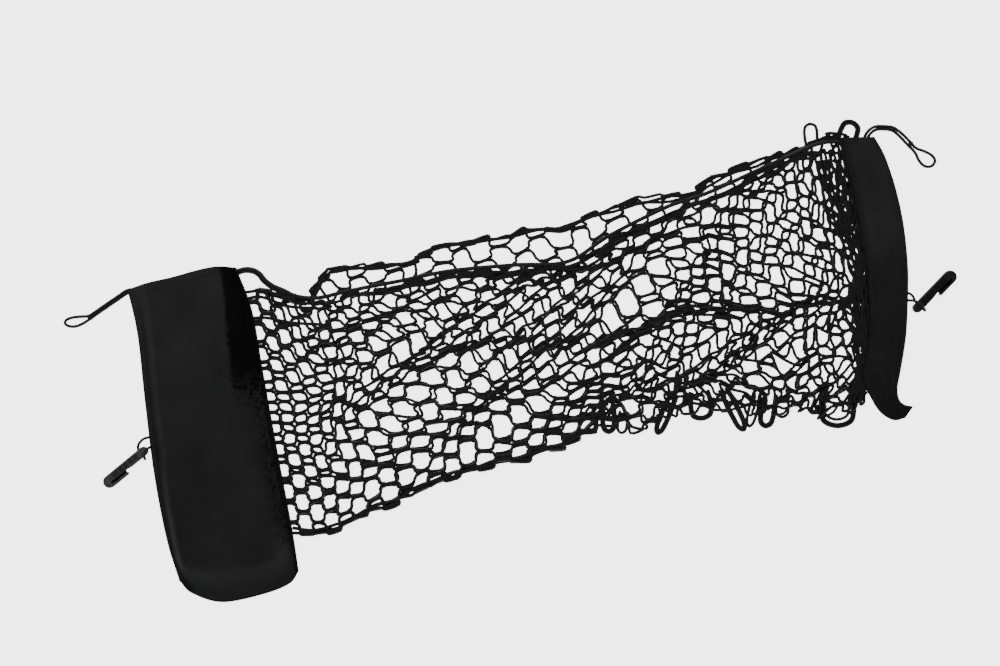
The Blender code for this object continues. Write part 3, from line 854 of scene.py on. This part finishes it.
def column_shares(columns, places, widths):
    """Where along the netting each column of knots stands, closer at its gathered ends."""
    along = np.linspace(0.0, 1.0, 400)
    crowd = np.cumsum(1 / np.interp(along, places, widths))
    crowd = (crowd - crowd[0]) / (crowd[-1] - crowd[0])
    return np.interp(np.linspace(0.0, 1.0, columns + 1), crowd, along)


def slant(u, v):
    """Direction in which the meshes' thick sides point there."""
    rows = [np.interp(u, SLANT_ALONG, row) for row in SLANTS]
    return math.radians(float(np.interp(v, SLANT_ACROSS, rows)))


def trimmed(u, v, layer):
    """The share across after the edges have been drawn in: scallops below, and a dip in the
    back layer's top by the sleeve."""
    inside = np.clip(v, 0.0, 1.0)
    below = float(np.interp(u, SCALLOP_AT, SCALLOP_DEPTH, left=0.0)) * inside**2
    above = 0.0 if layer else 0.055 * float(rising(u, 0.80, 0.08)) * (1 - inside) ** 3
    return v - below + above


def bunched(u, v, bands):
    """The share across after the rows have been drawn towards each band."""
    for places, across, spread, pull, (start, end) in bands:
        swell = swelling((u - start) / (end - start), 6)
        away = v - np.interp(u, places, across)
        v = v - pull * swell * away * bell(away, spread)
    return v


class Weft:
    """Where one layer's netting lies: its area, its bunching and its own slow waves."""

    def __init__(self, area, layer, bands, seed, radius):
        self.area, self.layer, self.bands, self.radius = area, layer, bands, radius
        both = random.Random(WAVES_SEED)
        own = random.Random(seed)
        self.waves = []
        for wave in WAVES:
            phases = [both.uniform(0, 6.28) + own.gauss(0, LAYER_PHASE) for _ in range(2)]
            self.waves.append((*wave, *phases))

    def place(self, u, v):
        flat = bunched(u, v, self.bands)
        point = self.area(u, flat)
        held = ease(u * 4.5) * ease((1 - u) * 10) * MM
        if not self.layer:
            point[..., 0] += BACK_SHIFT * rising(u, 0.55, 0.1) * held
        inside = np.clip(4 * v * (1 - v) + 0.25, 0.0, 1.0)
        for along, across, wide, high, first, second in self.waves:
            turn = 2 * math.pi * (along * u + across * v)
            point[..., 0] += wide * np.sin(turn + first) * held * inside
            point[..., 1] += high * np.sin(turn + second) * held * inside
        point[..., 2] = layer_height(u, np.clip(flat, 0.0, 1.0), self.layer, self.radius)
        return point


def net_knots(weft, columns, rows, diameter, seed):
    """Where neighbouring cords lie side by side, by column and row: the middle, half the
    length and half the distance between the two."""
    dice = random.Random(seed)
    upper = column_shares(columns, GATHER_AT, GATHER_TO)
    lower = column_shares(columns, GATHER_LOW_AT, GATHER_LOW_TO)
    knots = {}
    for column in range(columns + 1):
        for row in range(-(column % 2), rows + 2, 2):
            flat = min(max(row / rows, 0.0), 1.0)
            shares = mix(upper, lower, float(ease(flat)))
            before, u, after = (
                float(shares[k]) for k in (max(column - 1, 0), column, min(column + 1, columns))
            )
            held = float(swelling(u, 9))
            loose = float(rising(flat, 0.58, 0.15) * rising(u, 0.50, 0.12))
            outwards = dice.uniform(0.1, 0.3)
            v = flat
            if row < 0:
                v = -0.35 * outwards / rows
            if row > rows:
                v = 1 + dice.uniform(0.1, 0.9) / rows
            v = trimmed(u, v, weft.layer)
            shift = Vector([dice.gauss(0, drift) for drift in KNOT_DRIFT] + [0]) * MM
            here = Vector(weft.place(u, v)) + shift * held * (1 + LOOSE_DRIFT * loose)
            wobble = dice.gauss(0, KNOT_TURN) * (1 + LOOSE_TURN * loose) * held
            here.z += dice.uniform(*KNOT_RISE) * MM * held
            last, following = (weft.place(mix(u, beside, 0.5), v) for beside in (before, after))
            ahead = Vector(following) - Vector(last)
            turn = mix(*TURNING, float(swelling(flat, 8)))
            turn = turn * (slant(u, flat) - math.atan2(ahead.y, ahead.x))
            aim = Matrix.Rotation(wobble + turn * held, 3, "Z") @ ahead
            side = Vector((-aim.y, aim.x, 0.0)).normalized() * diameter * PAIR_OFFSET
            knots[column, row] = (here, aim * dice.uniform(*BAR_SHARE), side)
    return knots


def net_lines(weft, columns, rows, diameter, seed):
    """Cords of one layer: each runs lengthwise and lies beside its upper and its lower
    neighbour in turn. Where two lie side by side they are bound, which makes the meshes."""
    knots = net_knots(weft, columns, rows, diameter, seed)
    joints = []
    for (column, row), (here, bar, side) in knots.items():
        if 0 <= row <= rows and 0 < column < columns:
            joints += [(here + bar * way * BINDING_AT, bar.normalized()) for way in (-1, 1)]
    lines = []
    for cord in range(-1, rows + 1):
        points = []
        for column in range(columns + 1):
            row = cord if (column + cord) % 2 == 0 else cord + 1
            here, bar, side = knots[column, row]
            off = -side if row == cord else side
            if row < 0 or row > rows:
                off = Vector()
            points += [here - bar + off, here + bar + off]
        lines.append(rounded(np.array([tuple(point) for point in points]), 3))
    return lines, joints


def edge_lines(weft, top_starts):
    """The cords that run along a layer's long edges, those beside the pouch and the sleeve, and
    the loops that stand out past the edges."""
    lines = []
    for top, start, end, insets in (
        (True, top_starts, TOP_EDGE_ENDS, TOP_EDGE_INSETS),
        (False, LOW_EDGE_STARTS, LOW_EDGE_ENDS, LOW_EDGE_INSETS),
    ):
        for inset in insets:
            line = []
            for u in np.linspace(start, end, 60):
                away = inset + EDGE_SWAY * math.sin(90 * u + 400 * inset)
                v = away if top else 1.0 - away
                line.append(weft.place(u, trimmed(u, v, weft.layer)))
            lines.append(np.array(line))
    if weft.layer:
        lines.append(smooth(CORNER_ROUTE)(np.linspace(0.0, 1.0, 50)))
        for start, end in POUCH_FANS:
            line = [(0.0, start), (0.035, 1.15 * start - 0.01), (0.08, end + 0.01), (0.13, end)]
            lines.append(rounded(np.array([weft.place(u, v) for u, v in line]), 12))
    dice = random.Random(GATHER_SEED + weft.layer)
    for gather in range(GATHERS):
        u = GATHERS_FROM + GATHERS_OVER * gather / GATHERS
        line = []
        for v in np.linspace(0.03, 0.97, 44):
            line.append(weft.place(u + dice.gauss(0, GATHER_DRIFT), trimmed(u, v, weft.layer)))
        lines.append(rounded(np.array(line), 3))
    for foot, tip, wide, cords, layer in HANGING_LOOPS:
        if layer == weft.layer:
            for inside in range(cords):
                inset = LOOP_SPACING * inside * weft.radius
                lines.append(hanging_loop(weft, foot, tip, wide, inset))
    return lines


def hanging_loop(weft, foot, tip, wide, inset):
    """A loose loop of cord. Below the net it comes down to the surface at its tip."""
    hangs = foot[1] < 0
    foot, tip, wide = np.array(foot) * MM, np.array(tip) * MM, wide * MM
    deep = np.linalg.norm(tip - foot)
    ahead = (tip - foot) / deep
    side = np.array([-ahead[1], ahead[0]])
    high = weft.radius * (1 + 2 * weft.layer) if hangs else CLOTH + weft.radius
    points = []
    for across, along in LOOP_SHAPE:
        x, y = foot + ahead * (deep - inset) * along + side * (wide - 2 * inset) * (across - 0.5)
        points.append((x, y, mix(high, weft.radius, ease(along)) if hangs else high))
    return rounded(np.array(points), 6)


def lay_netting(settings):
    tree = bpy.data.node_groups.get(CORD_TREE) or cord_tree()
    finish = cord_material("Netting cord", tuple(settings.colour), 2.0 * MM)
    diameter = settings.cord_diameter
    values = {
        "Diameter": diameter, "Sides": 6, "Binding length": 3.0 * MM,
        "Binding thickness": 0.9 * MM, "Material": finish,
    }
    layers = (
        ("netting_back", "net_back", BACK_TOP, BACK_BANDS, settings.back_rows, 11, 0.04),
        ("netting_front", "net_front", FRONT_TOP, FRONT_BANDS, settings.front_rows, 29, 0.20),
    )
    for layer, (name, node, top, bands, rows, seed, top_starts) in enumerate(layers):
        area = patch(NET_LEFT, NET_RIGHT, top, NET_BOTTOM)
        weft = Weft(area, layer, bands, seed, diameter / 2)
        lines, joints = net_lines(weft, settings.columns, rows, diameter, settings.seed)
        lines += edge_lines(weft, top_starts)
        made = grow(name, line_mesh(name, lines, joints), tree, values)
        hand_over(made, "netting", node)


# --- pouch


def sew(name, lines, settings, thread):
    """Stitches on the upper face of a cloth, along lines through its middle."""
    tree = bpy.data.node_groups.get(STITCH_TREE) or stitch_tree()
    values = {
        "Pitch": settings.stitch_pitch, "Length": settings.stitch_pitch * STITCH_LENGTH,
        "Thread": THREAD, "Material": thread,
    }
    lift = np.array([0.0, 0.0, STITCH_LIFT])
    seams = grow(name, line_mesh(name, [line + lift for line in lines]), tree, values)
    return hand_over(seams, "pouch_cloth")


def pouch_seam_height(u, v):
    over_net = 1 - rising(v, NET_END_ON_POUCH, 1 - NET_END_ON_POUCH)
    return mix(SEAM_LOW, mix(SEAM_LOW, SEAM_HIGH, over_net), rising(u, 0.35, 0.5))


def pouch_front_points(columns, rows, puckers):
    """The front panel's grid, and how dark and how worn the cloth is at its points."""
    area = patch(POUCH_LEFT, POUCH_RIGHT, POUCH_TOP, POUCH_BOTTOM)
    height = smooth(POUCH_LEFT).length
    u, v = shares_grid(columns, rows)
    u = mix(u, 0.5 - 0.5 * np.cos(np.pi * u), 0.6)
    v = mix(v, 0.5 - 0.5 * np.cos(np.pi * v), 0.4)
    points = area(u, v)
    width = np.linalg.norm(area(np.ones_like(v), v) - area(np.zeros_like(v), v), axis=2)
    from_left = u * width - POUCH_SEAM
    from_right = (1 - u) * width - POUCH_SEAM
    from_bottom = (1 - v) * height - POUCH_SEAM
    reach = from_right / (between(POUCH_RIGHT_SLOPES, v) * MM)
    # The right wall is creased at its top and rounded further down
    wall = mix(ease(reach), np.clip(reach, 0.0, 1.0), 1 - rising(v, 0.22, 0.2))
    fullness = ease(from_left / POUCH_LEFT_SLOPE) * wall
    fullness = fullness * ease(from_bottom / POUCH_BOTTOM_SLOPE)
    fullness = fullness * mix(MOUTH_SHARE, 1.0, ease(v * height / MOUTH_SLOPE))
    rise = pouch_seam_height(u, v) + POUCH_LOFT * fullness
    x, y = points[..., 0], points[..., 1]
    slow = np.sin(x * 61 + y * 23 + 0.6) * np.sin(y * 38 - x * 17 + 1.1)
    quick = np.sin(x * 140 - y * 90 + 2.0) * np.sin(y * 75 + x * 50)
    rise = rise + puckers * fullness * (0.9 * slow + 0.35 * quick) * MM
    # The netting pulls short puckers into the lower right edge
    tug = rising(v, 0.35, 0.15) * (1 - rising(v, 0.86, 0.06)) * bell(from_right - 12 * MM, 12 * MM)
    rise = rise + puckers * tug * 1.1 * np.sin(v * height / MM * 2 * math.pi / PUCKER_PITCH) * MM
    # The mouth's hem is two cloths thick
    rise = rise + (1 - rising(v * height, HEM_DEPTH, 1.5 * MM)) * HEM_RISE
    points[..., 2] = rise
    # Painted shade: a dark strip down the upper half of the right wall, which lies in shadow
    wall_shade = (1 - rising(reach, 0.9, 0.2)) * (1 - rising(v, 0.30, 0.16))
    edge = 1 - rising(from_right, -2 * MM, 7 * MM)
    # Dark specks beside the lower right edge, and specks of painted shade where the dark wall strip
    # fades out, which make that shade's edge ragged
    speckled = bell(from_right - 6 * MM, 7 * MM) * rising(v, 0.34, 0.1) * (1 - rising(v, 0.84, 0.08))
    wear = np.clip(0.7 * speckled + 3.2 * wall_shade * (1 - wall_shade), 0.0, 1.0)
    # Painted shade: the face a little darker than its top, and the left and bottom slopes darkened
    # to take out the highlights they catch
    left = np.clip(from_left / POUCH_LEFT_SLOPE, 0.0, 1.0)
    low = np.clip(from_bottom / POUCH_BOTTOM_SLOPE, 0.0, 1.0)
    face_shade = 0.17 * rising(v, 0.12, 0.25) + 1.9 * left * (1 - left) * rising(v, 0.02, 0.2)
    face_shade = np.maximum(face_shade, 1.1 * low * (1 - low))
    # The shade mark: the painted shade above, and a darker band along the right edge's seam
    shade = np.maximum(np.maximum(wall_shade, 0.75 * edge), face_shade)
    return points, np.clip(shade, 0.0, 1.0), wear


def make_pouch(settings):
    cloth = cloth_material("Pouch weave", tuple(settings.colour), settings.weave_pitch)
    thread = thread_material("Seam thread", tuple(settings.thread_colour))
    points, shade, wear = pouch_front_points(72, 130, settings.puckers)
    front = cloth_piece("pouch_front_panel", points, cloth, shade=shade, wear=wear)
    flat = patch(POUCH_LEFT, POUCH_RIGHT, POUCH_TOP, POUCH_BOTTOM)(*shares_grid(40, 80))
    flat[..., 2] = CLOTH / 2
    back = cloth_piece("pouch_back_panel", flat, cloth)
    middle = points[:, points.shape[1] // 2]
    run = np.cumsum(np.linalg.norm(np.diff(middle, axis=0), axis=1))
    hem_row = int(np.argmin(np.abs(run - HEM_SEAM)))
    lines = (points[3:, 1], points[-2, 1:-1], points[3:-2, -2], points[hem_row, 1:-1])
    seams = sew("pouch_stitching", lines, settings, thread)
    hand_over(front, "pouch_cloth", "pouch_front")
    hand_over(back, "pouch_cloth", "pouch_back")


# --- sleeve


def sleeve_points(across_steps, along_steps, ridges):
    """The sleeve's grid: lower leaf, fold at the outer edge, upper leaf. And its painted shade."""
    u, v = shares_grid(across_steps, along_steps)
    near, far = smooth(SLEEVE_INNER)(v), smooth(SLEEVE_OUTER)(v)
    across = (far - near) / np.linalg.norm(far - near, axis=2, keepdims=True)
    radius = mix(SLEEVE_FOLD_RADIUS, SLEEVE_TAIL_RADIUS, rising(v, SLEEVE_TAIL, 1 - SLEEVE_TAIL))
    centre = far - across * radius[..., None]
    lower = np.clip(u / SLEEVE_FOLD_STARTS, 0.0, 1.0)[..., None]
    turn = np.clip((u - SLEEVE_FOLD_STARTS) / (SLEEVE_FOLD_ENDS - SLEEVE_FOLD_STARTS), 0.0, 1.0)
    upper = np.clip((u - SLEEVE_FOLD_ENDS) / (1 - SLEEVE_FOLD_ENDS), 0.0, 1.0)
    angle = np.pi * (turn - 0.5)
    points = centre + across * (radius * np.cos(angle))[..., None]
    points = np.where((u <= SLEEVE_FOLD_STARTS)[..., None], mix(near, centre, lower), points)
    leaf = mix(centre, near, upper[..., None])
    points = np.where((u >= SLEEVE_FOLD_ENDS)[..., None], leaf, points)
    crown = SLEEVE_CROWN * (1 - rising(v, SLEEVE_TAIL, SLEEVE_FADE))
    rise = radius * (1 + np.sin(angle)) + crown * np.sin(np.pi * upper) * (upper > 0)
    top = ease(upper * 4)
    streak = np.sin(2 * np.pi * (3.2 * upper + 0.35 * np.sin(5 * v) + 0.2 * np.sin(13 * v + 1)))
    rise = rise + ridges * top * 0.45 * MM * streak * (1 - rising(v, 0.9, 0.1))
    rise = rise - ridges * top * 0.8 * MM * bell(v - CREASE_AT, 0.012)
    points[..., 2] = CLOTH / 2 + rise
    # Painted shade round the fold's outer edge, which faces away from the key light, along the
    # upper leaf's inner edge, and over the lower part. The tail end is darker too
    shade = 0.8 * bell(turn - 0.6, 0.35) * (upper <= 0) + 0.55 * bell(upper - 1.0, 0.12)
    shade = np.maximum(shade, 0.5 * rising(v, 0.86, 0.1))
    return points, np.maximum(shade, 0.36 * rising(v, 0.32, 0.25))


def make_sleeve(settings):
    cloth = cloth_material("Sleeve weave", tuple(settings.sleeve_colour), settings.weave_pitch)
    thread = thread_material("Sleeve thread", tuple(settings.thread_colour))
    points, shade = sleeve_points(52, 150, settings.puckers)
    band = cloth_piece("end_sleeve_band", points, cloth, shade=shade)
    lines = (points[2:-2, -4], points[2:-2, -20])
    seams = sew("sleeve_stitching", lines, settings, thread)
    hand_over(band, "pouch_cloth", "end_sleeve")


# --- hooks


def arc(centre, radius, first, last, steps):
    made = []
    for k in range(steps + 1):
        angle = math.radians(mix(first, last, k / steps))
        made.append((centre[0] + radius * math.cos(angle), centre[1] + radius * math.sin(angle)))
    return made


def hook_outline(lip):
    """Outline of a hook with its drilled end at the origin; its lip lies towards +Y * lip."""
    shank, head = HOOK_SHANK / 2, HOOK_HEAD / 2
    outside = HOOK_HEAD - shank
    slit_root = HOOK_LENGTH - HOOK_SLIT
    lip_tip = HOOK_LENGTH - HOOK_LIP_LENGTH
    lip_inner = shank + HOOK_SLIT / 2
    points = arc((0, 0), shank, 270, 90, 24)
    points += [(lip_tip - 3 * HOOK_SLIT, shank), (lip_tip, shank - HOOK_SLIT / 2)]
    points += arc((slit_root, shank), HOOK_SLIT / 2, -90, 90, 8)
    points += [
        (lip_tip + HOOK_SLIT, lip_inner), (lip_tip, mix(lip_inner, outside, 0.5)),
        (lip_tip + HOOK_SLIT, outside),
    ]
    points += arc((HOOK_LENGTH, outside - head), head, 90, -90, 30)
    return [(x, y * lip) for x, y in points]


def prism(work, outline, low, high):
    """A closed block over an outline."""
    base = work.faces.new([work.verts.new((x, y, low)) for x, y in outline])
    raised = bmesh.ops.extrude_face_region(work, geom=[base])
    for item in raised["geom"]:
        if isinstance(item, bmesh.types.BMVert):
            item.co.z = high
    return work


def to_mesh(work, name):
    bmesh.ops.recalc_face_normals(work, faces=work.faces)
    mesh = bpy.data.meshes.new(name)
    work.to_mesh(mesh)
    work.free()
    return mesh


def hook_cutter(name):
    """What is cut from a hook: the hole through its end and the pockets between its ribs."""
    cutter = bmesh.new()
    middle = Matrix.Translation((HOOK_HOLE_AT, 0, HOOK_THICKNESS / 2))
    bmesh.ops.create_cone(
        cutter, cap_ends=True, segments=24, radius1=HOOK_HOLE / 2, radius2=HOOK_HOLE / 2,
        depth=2 * HOOK_HEAD, matrix=middle @ Matrix.Rotation(math.radians(90), 4, "X"),
    )
    corner = POCKET_CORNER
    high = POCKET_WIDTH / 2 - corner
    for start, end in HOOK_POCKETS:
        left, right = start * MM + corner, end * MM - corner
        outline = []
        for k, centre in enumerate(((right, high), (left, high), (left, -high), (right, -high))):
            outline += arc(centre, corner, 90 * k, 90 * k + 90, 4)
        prism(cutter, outline, HOOK_THICKNESS - POCKET_DEPTH, HOOK_THICKNESS + CUTTER_OVER)
    return to_mesh(cutter, name)


def shade_slit(mesh, lip):
    """A thin sheet across the slit's underside, through which no floor shows: painted shade, nearly
    black, in place of the shadow inside the slit.
    """
    middle, half = HOOK_SHANK / 2, 0.6 * HOOK_SLIT
    start, end = HOOK_LENGTH - HOOK_LIP_LENGTH + HOOK_SLIT, HOOK_LENGTH - HOOK_SLIT / 2
    low, high = (middle - half) * lip, (middle + half) * lip
    work = bmesh.new()
    work.from_mesh(mesh)
    prism(work, ((start, low), (end, low), (end, high), (start, high)), 0.1 * MM, SLIT_SHADE_TOP)
    bmesh.ops.recalc_face_normals(work, faces=work.faces)
    work.to_mesh(mesh)
    work.free()


def mark_side_shade(mesh):
    """Mark what lies below the hook's upper face, which gets painted shade."""
    top = HOOK_THICKNESS - 0.2 * HOOK_EDGE
    side_shade = [float(vertex.co.z < top) for vertex in mesh.vertices]
    mesh.attributes.new("side_shade", "FLOAT", "POINT").data.foreach_set("value", side_shade)


def mould_hook(name, node, seat, finish):
    """A moulded hook: rounded edges, shallow pockets between ribs, and a hole for its loop."""
    block = prism(bmesh.new(), hook_outline(seat["lip"]), 0.0, HOOK_THICKNESS)
    made = add_object(name, to_mesh(block, name))
    edges = made.modifiers.new("Edges", "BEVEL")
    edges.width = HOOK_EDGE
    edges.segments = 3
    edges.limit_method = "ANGLE"
    edges.angle_limit = math.radians(40)
    tool = add_object(name + "_cutter", hook_cutter(name + "_cutter"))
    cut = made.modifiers.new("Pockets", "BOOLEAN")
    cut.operation = "DIFFERENCE"
    cut.object = tool
    settle(made)
    bpy.data.objects.remove(tool)
    # A dark sheet of painted shade under the slit
    shade_slit(made.data, seat["lip"])
    # Painted shade on the sides, the underside and the sheet in the slit
    mark_side_shade(made.data)
    made.data.materials.clear()
    made.data.materials.append(finish)
    place = Matrix.Translation((seat["x"] * MM, seat["y"] * MM, 0.0))
    made.data.transform(place @ Matrix.Rotation(math.radians(seat["turn"]), 4, "Z"))
    made.data.shade_smooth()
    made.data.set_sharp_from_angle(angle=math.radians(50))
    hand_over(made, "hook_plastic", node)


def make_hooks(settings):
    left = plastic_material("Scuffed plastic", tuple(settings.left_colour), 0.3)
    right = plastic_material("Dark plastic", tuple(settings.right_colour), 0.15)
    mould_hook("left_hook_moulding", "hook_left", LEFT_HOOK, left)
    mould_hook("right_hook_moulding", "hook_right", RIGHT_HOOK, right)


# --- the add-on


LENGTH = {"subtype": "DISTANCE", "unit": "LENGTH"}
COLOUR = {"size": 3, "min": 0.0, "max": 1.0, "subtype": "COLOR"}


class StageSettings(bpy.types.PropertyGroup):
    """The floor, the lights and the camera."""

    floor_size: bpy.props.FloatProperty(
        name="Floor size", description="Width of the square floor", default=24.0, min=2.0, **LENGTH
    )
    floor_glow: bpy.props.FloatProperty(
        name="Floor glow", description="Light that the floor gives off", default=3.6, min=0.0
    )
    backdrop: bpy.props.FloatProperty(
        name="Backdrop", description="Strength of the even light all round", default=0.24, min=0.0
    )
    light_power: bpy.props.FloatProperty(
        name="Light power", description="Power of the soft lights", default=32.0, min=0.0,
        unit="POWER",
    )
    camera_height: bpy.props.FloatProperty(
        name="Camera height", description="Height above the floor", default=2.4, min=0.5, **LENGTH
    )
    view_width: bpy.props.FloatProperty(
        name="View width", description="Width of floor in view", default=1.2, min=0.2, **LENGTH
    )
    view_centre: bpy.props.FloatVectorProperty(
        name="View centre", description="Point of the floor under the camera", size=2,
        default=(-0.0366, 0.0336), subtype="XYZ", unit="LENGTH",
    )


class CordSettings(bpy.types.PropertyGroup):
    """The corner loops, the hooks' loops and the cord along the front layer's top."""

    loop_diameter: bpy.props.FloatProperty(
        name="Loop diameter", description="Corner loops' cord", default=0.0038, min=0.001, **LENGTH
    )
    tether_diameter: bpy.props.FloatProperty(
        name="Tether diameter", description="Hooks' cord", default=0.0034, min=0.001, **LENGTH
    )
    edge_diameter: bpy.props.FloatProperty(
        name="Edge diameter", description="Cord along the front layer's top", default=0.005,
        min=0.001, **LENGTH
    )
    colour: bpy.props.FloatVectorProperty(
        name="Cord colour", description="Braided cord", default=(0.006, 0.006, 0.0065), **COLOUR
    )


class NettingSettings(bpy.types.PropertyGroup):
    """The two layers of netting."""

    cord_diameter: bpy.props.FloatProperty(
        name="Cord diameter", description="Netting's cord", default=0.0039, min=0.001, **LENGTH
    )
    columns: bpy.props.IntProperty(
        name="Columns", description="Columns of knots along the net", default=48, min=4, max=80
    )
    front_rows: bpy.props.IntProperty(
        name="Front rows", description="Rows in the front layer", default=22, min=4, max=40
    )
    back_rows: bpy.props.IntProperty(
        name="Back rows", description="Rows in the back layer", default=24, min=4, max=40
    )
    binding_cover: bpy.props.FloatProperty(
        name="Binding cover", description="Area of one binding laid flat", default=3.9e-5, min=0.0
    )
    flat_width: bpy.props.FloatProperty(
        name="Flat width", description="Of one layer pulled flat", default=0.29, min=0.05, **LENGTH
    )
    flat_length: bpy.props.FloatProperty(
        name="Flat length", description="Of one layer pulled flat", default=0.78, min=0.1, **LENGTH
    )
    seed: bpy.props.IntProperty(
        name="Seed", description="Fixed seed of the knots' unevenness", default=5, min=0
    )
    colour: bpy.props.FloatVectorProperty(
        name="Netting colour", description="Netting's cord", default=(0.005, 0.005, 0.0055),
        **COLOUR
    )


class ClothSettings(bpy.types.PropertyGroup):
    """The pouch and the sleeve."""

    weave_pitch: bpy.props.FloatProperty(
        name="Weave pitch", description="Width of two threads", default=0.0011, min=0.0002, **LENGTH
    )
    stitch_pitch: bpy.props.FloatProperty(
        name="Stitch pitch", description="From stitch to stitch", default=0.0036, min=0.001,
        **LENGTH
    )
    puckers: bpy.props.FloatProperty(
        name="Puckers", description="Strength of the wrinkles", default=1.0, min=0.0, max=2.0
    )
    colour: bpy.props.FloatVectorProperty(
        name="Pouch colour", description="Pouch's cloth", default=(0.0225, 0.0225, 0.0235), **COLOUR
    )
    sleeve_colour: bpy.props.FloatVectorProperty(
        name="Sleeve colour", description="Sleeve's cloth", default=(0.0235, 0.0235, 0.024),
        **COLOUR
    )
    thread_colour: bpy.props.FloatVectorProperty(
        name="Thread colour", description="Sewing thread", default=(0.005, 0.005, 0.0055), **COLOUR
    )


class HookSettings(bpy.types.PropertyGroup):
    """The moulded hooks."""

    left_colour: bpy.props.FloatVectorProperty(
        name="Left hook", description="Left hook's plastic", default=(0.022, 0.022, 0.022), **COLOUR
    )
    right_colour: bpy.props.FloatVectorProperty(
        name="Right hook", description="Right hook's plastic", default=(0.006, 0.006, 0.006),
        **COLOUR
    )


class CARGO_OT_stage(bpy.types.Operator):
    """Set up the pale floor, the soft lights and the camera"""

    bl_idname = "cargo.stage"
    bl_label = "Stage"

    def execute(self, context):
        set_stage(context.scene.cargo_stage)
        return {"FINISHED"}


class CARGO_OT_cords(bpy.types.Operator):
    """Lay the corner loops, the hooks' loops and the cord along the netting's top"""

    bl_idname = "cargo.cords"
    bl_label = "Cords"

    def execute(self, context):
        lay_cords(context.scene.cargo_cords)
        return {"FINISHED"}


class CARGO_OT_netting(bpy.types.Operator):
    """Lay the two layers of netting"""

    bl_idname = "cargo.netting"
    bl_label = "Netting"

    def execute(self, context):
        lay_netting(context.scene.cargo_netting)
        return {"FINISHED"}


class CARGO_OT_pouch(bpy.types.Operator):
    """Sew the pouch: its back, its full front and their stitching"""

    bl_idname = "cargo.pouch"
    bl_label = "Pouch"

    def execute(self, context):
        make_pouch(context.scene.cargo_cloth)
        return {"FINISHED"}


class CARGO_OT_sleeve(bpy.types.Operator):
    """Fold the sleeve over the netting's end and stitch it"""

    bl_idname = "cargo.sleeve"
    bl_label = "Sleeve"

    def execute(self, context):
        make_sleeve(context.scene.cargo_cloth)
        return {"FINISHED"}


class CARGO_OT_hooks(bpy.types.Operator):
    """Mould the two hooks"""

    bl_idname = "cargo.hooks"
    bl_label = "Hooks"

    def execute(self, context):
        make_hooks(context.scene.cargo_hooks)
        return {"FINISHED"}


SETTINGS = {
    "cargo_stage": StageSettings,
    "cargo_cords": CordSettings,
    "cargo_netting": NettingSettings,
    "cargo_cloth": ClothSettings,
    "cargo_hooks": HookSettings,
}
OPERATORS = (
    CARGO_OT_stage, CARGO_OT_cords, CARGO_OT_netting, CARGO_OT_pouch, CARGO_OT_sleeve,
    CARGO_OT_hooks,
)


class CARGO_PT_sidebar(bpy.types.Panel):
    """Lists the steps that dress the cargo net, with their sizes and colours"""

    bl_label = "Cargo net"
    bl_idname = "CARGO_PT_sidebar"
    bl_space_type = "VIEW_3D"
    bl_region_type = "UI"
    bl_category = "Cargo net"

    def draw(self, context):
        for operator in OPERATORS:
            self.layout.operator(operator.bl_idname)
        for name in SETTINGS:
            box = self.layout.box()
            settings = getattr(context.scene, name)
            for key in settings.__annotations__:
                box.prop(settings, key)


def register():
    for made in (*SETTINGS.values(), *OPERATORS, CARGO_PT_sidebar):
        bpy.utils.register_class(made)
    for name, group in SETTINGS.items():
        setattr(bpy.types.Scene, name, bpy.props.PointerProperty(type=group))


def unregister():
    for name in SETTINGS:
        delattr(bpy.types.Scene, name)
    for made in reversed((*SETTINGS.values(), *OPERATORS, CARGO_PT_sidebar)):
        bpy.utils.unregister_class(made)


def main():
    register()
    bpy.ops.cargo.stage()
    bpy.ops.cargo.cords()
    bpy.ops.cargo.netting()
    bpy.ops.cargo.pouch()
    bpy.ops.cargo.sleeve()
    bpy.ops.cargo.hooks()


if __name__ == "__main__":
    main()
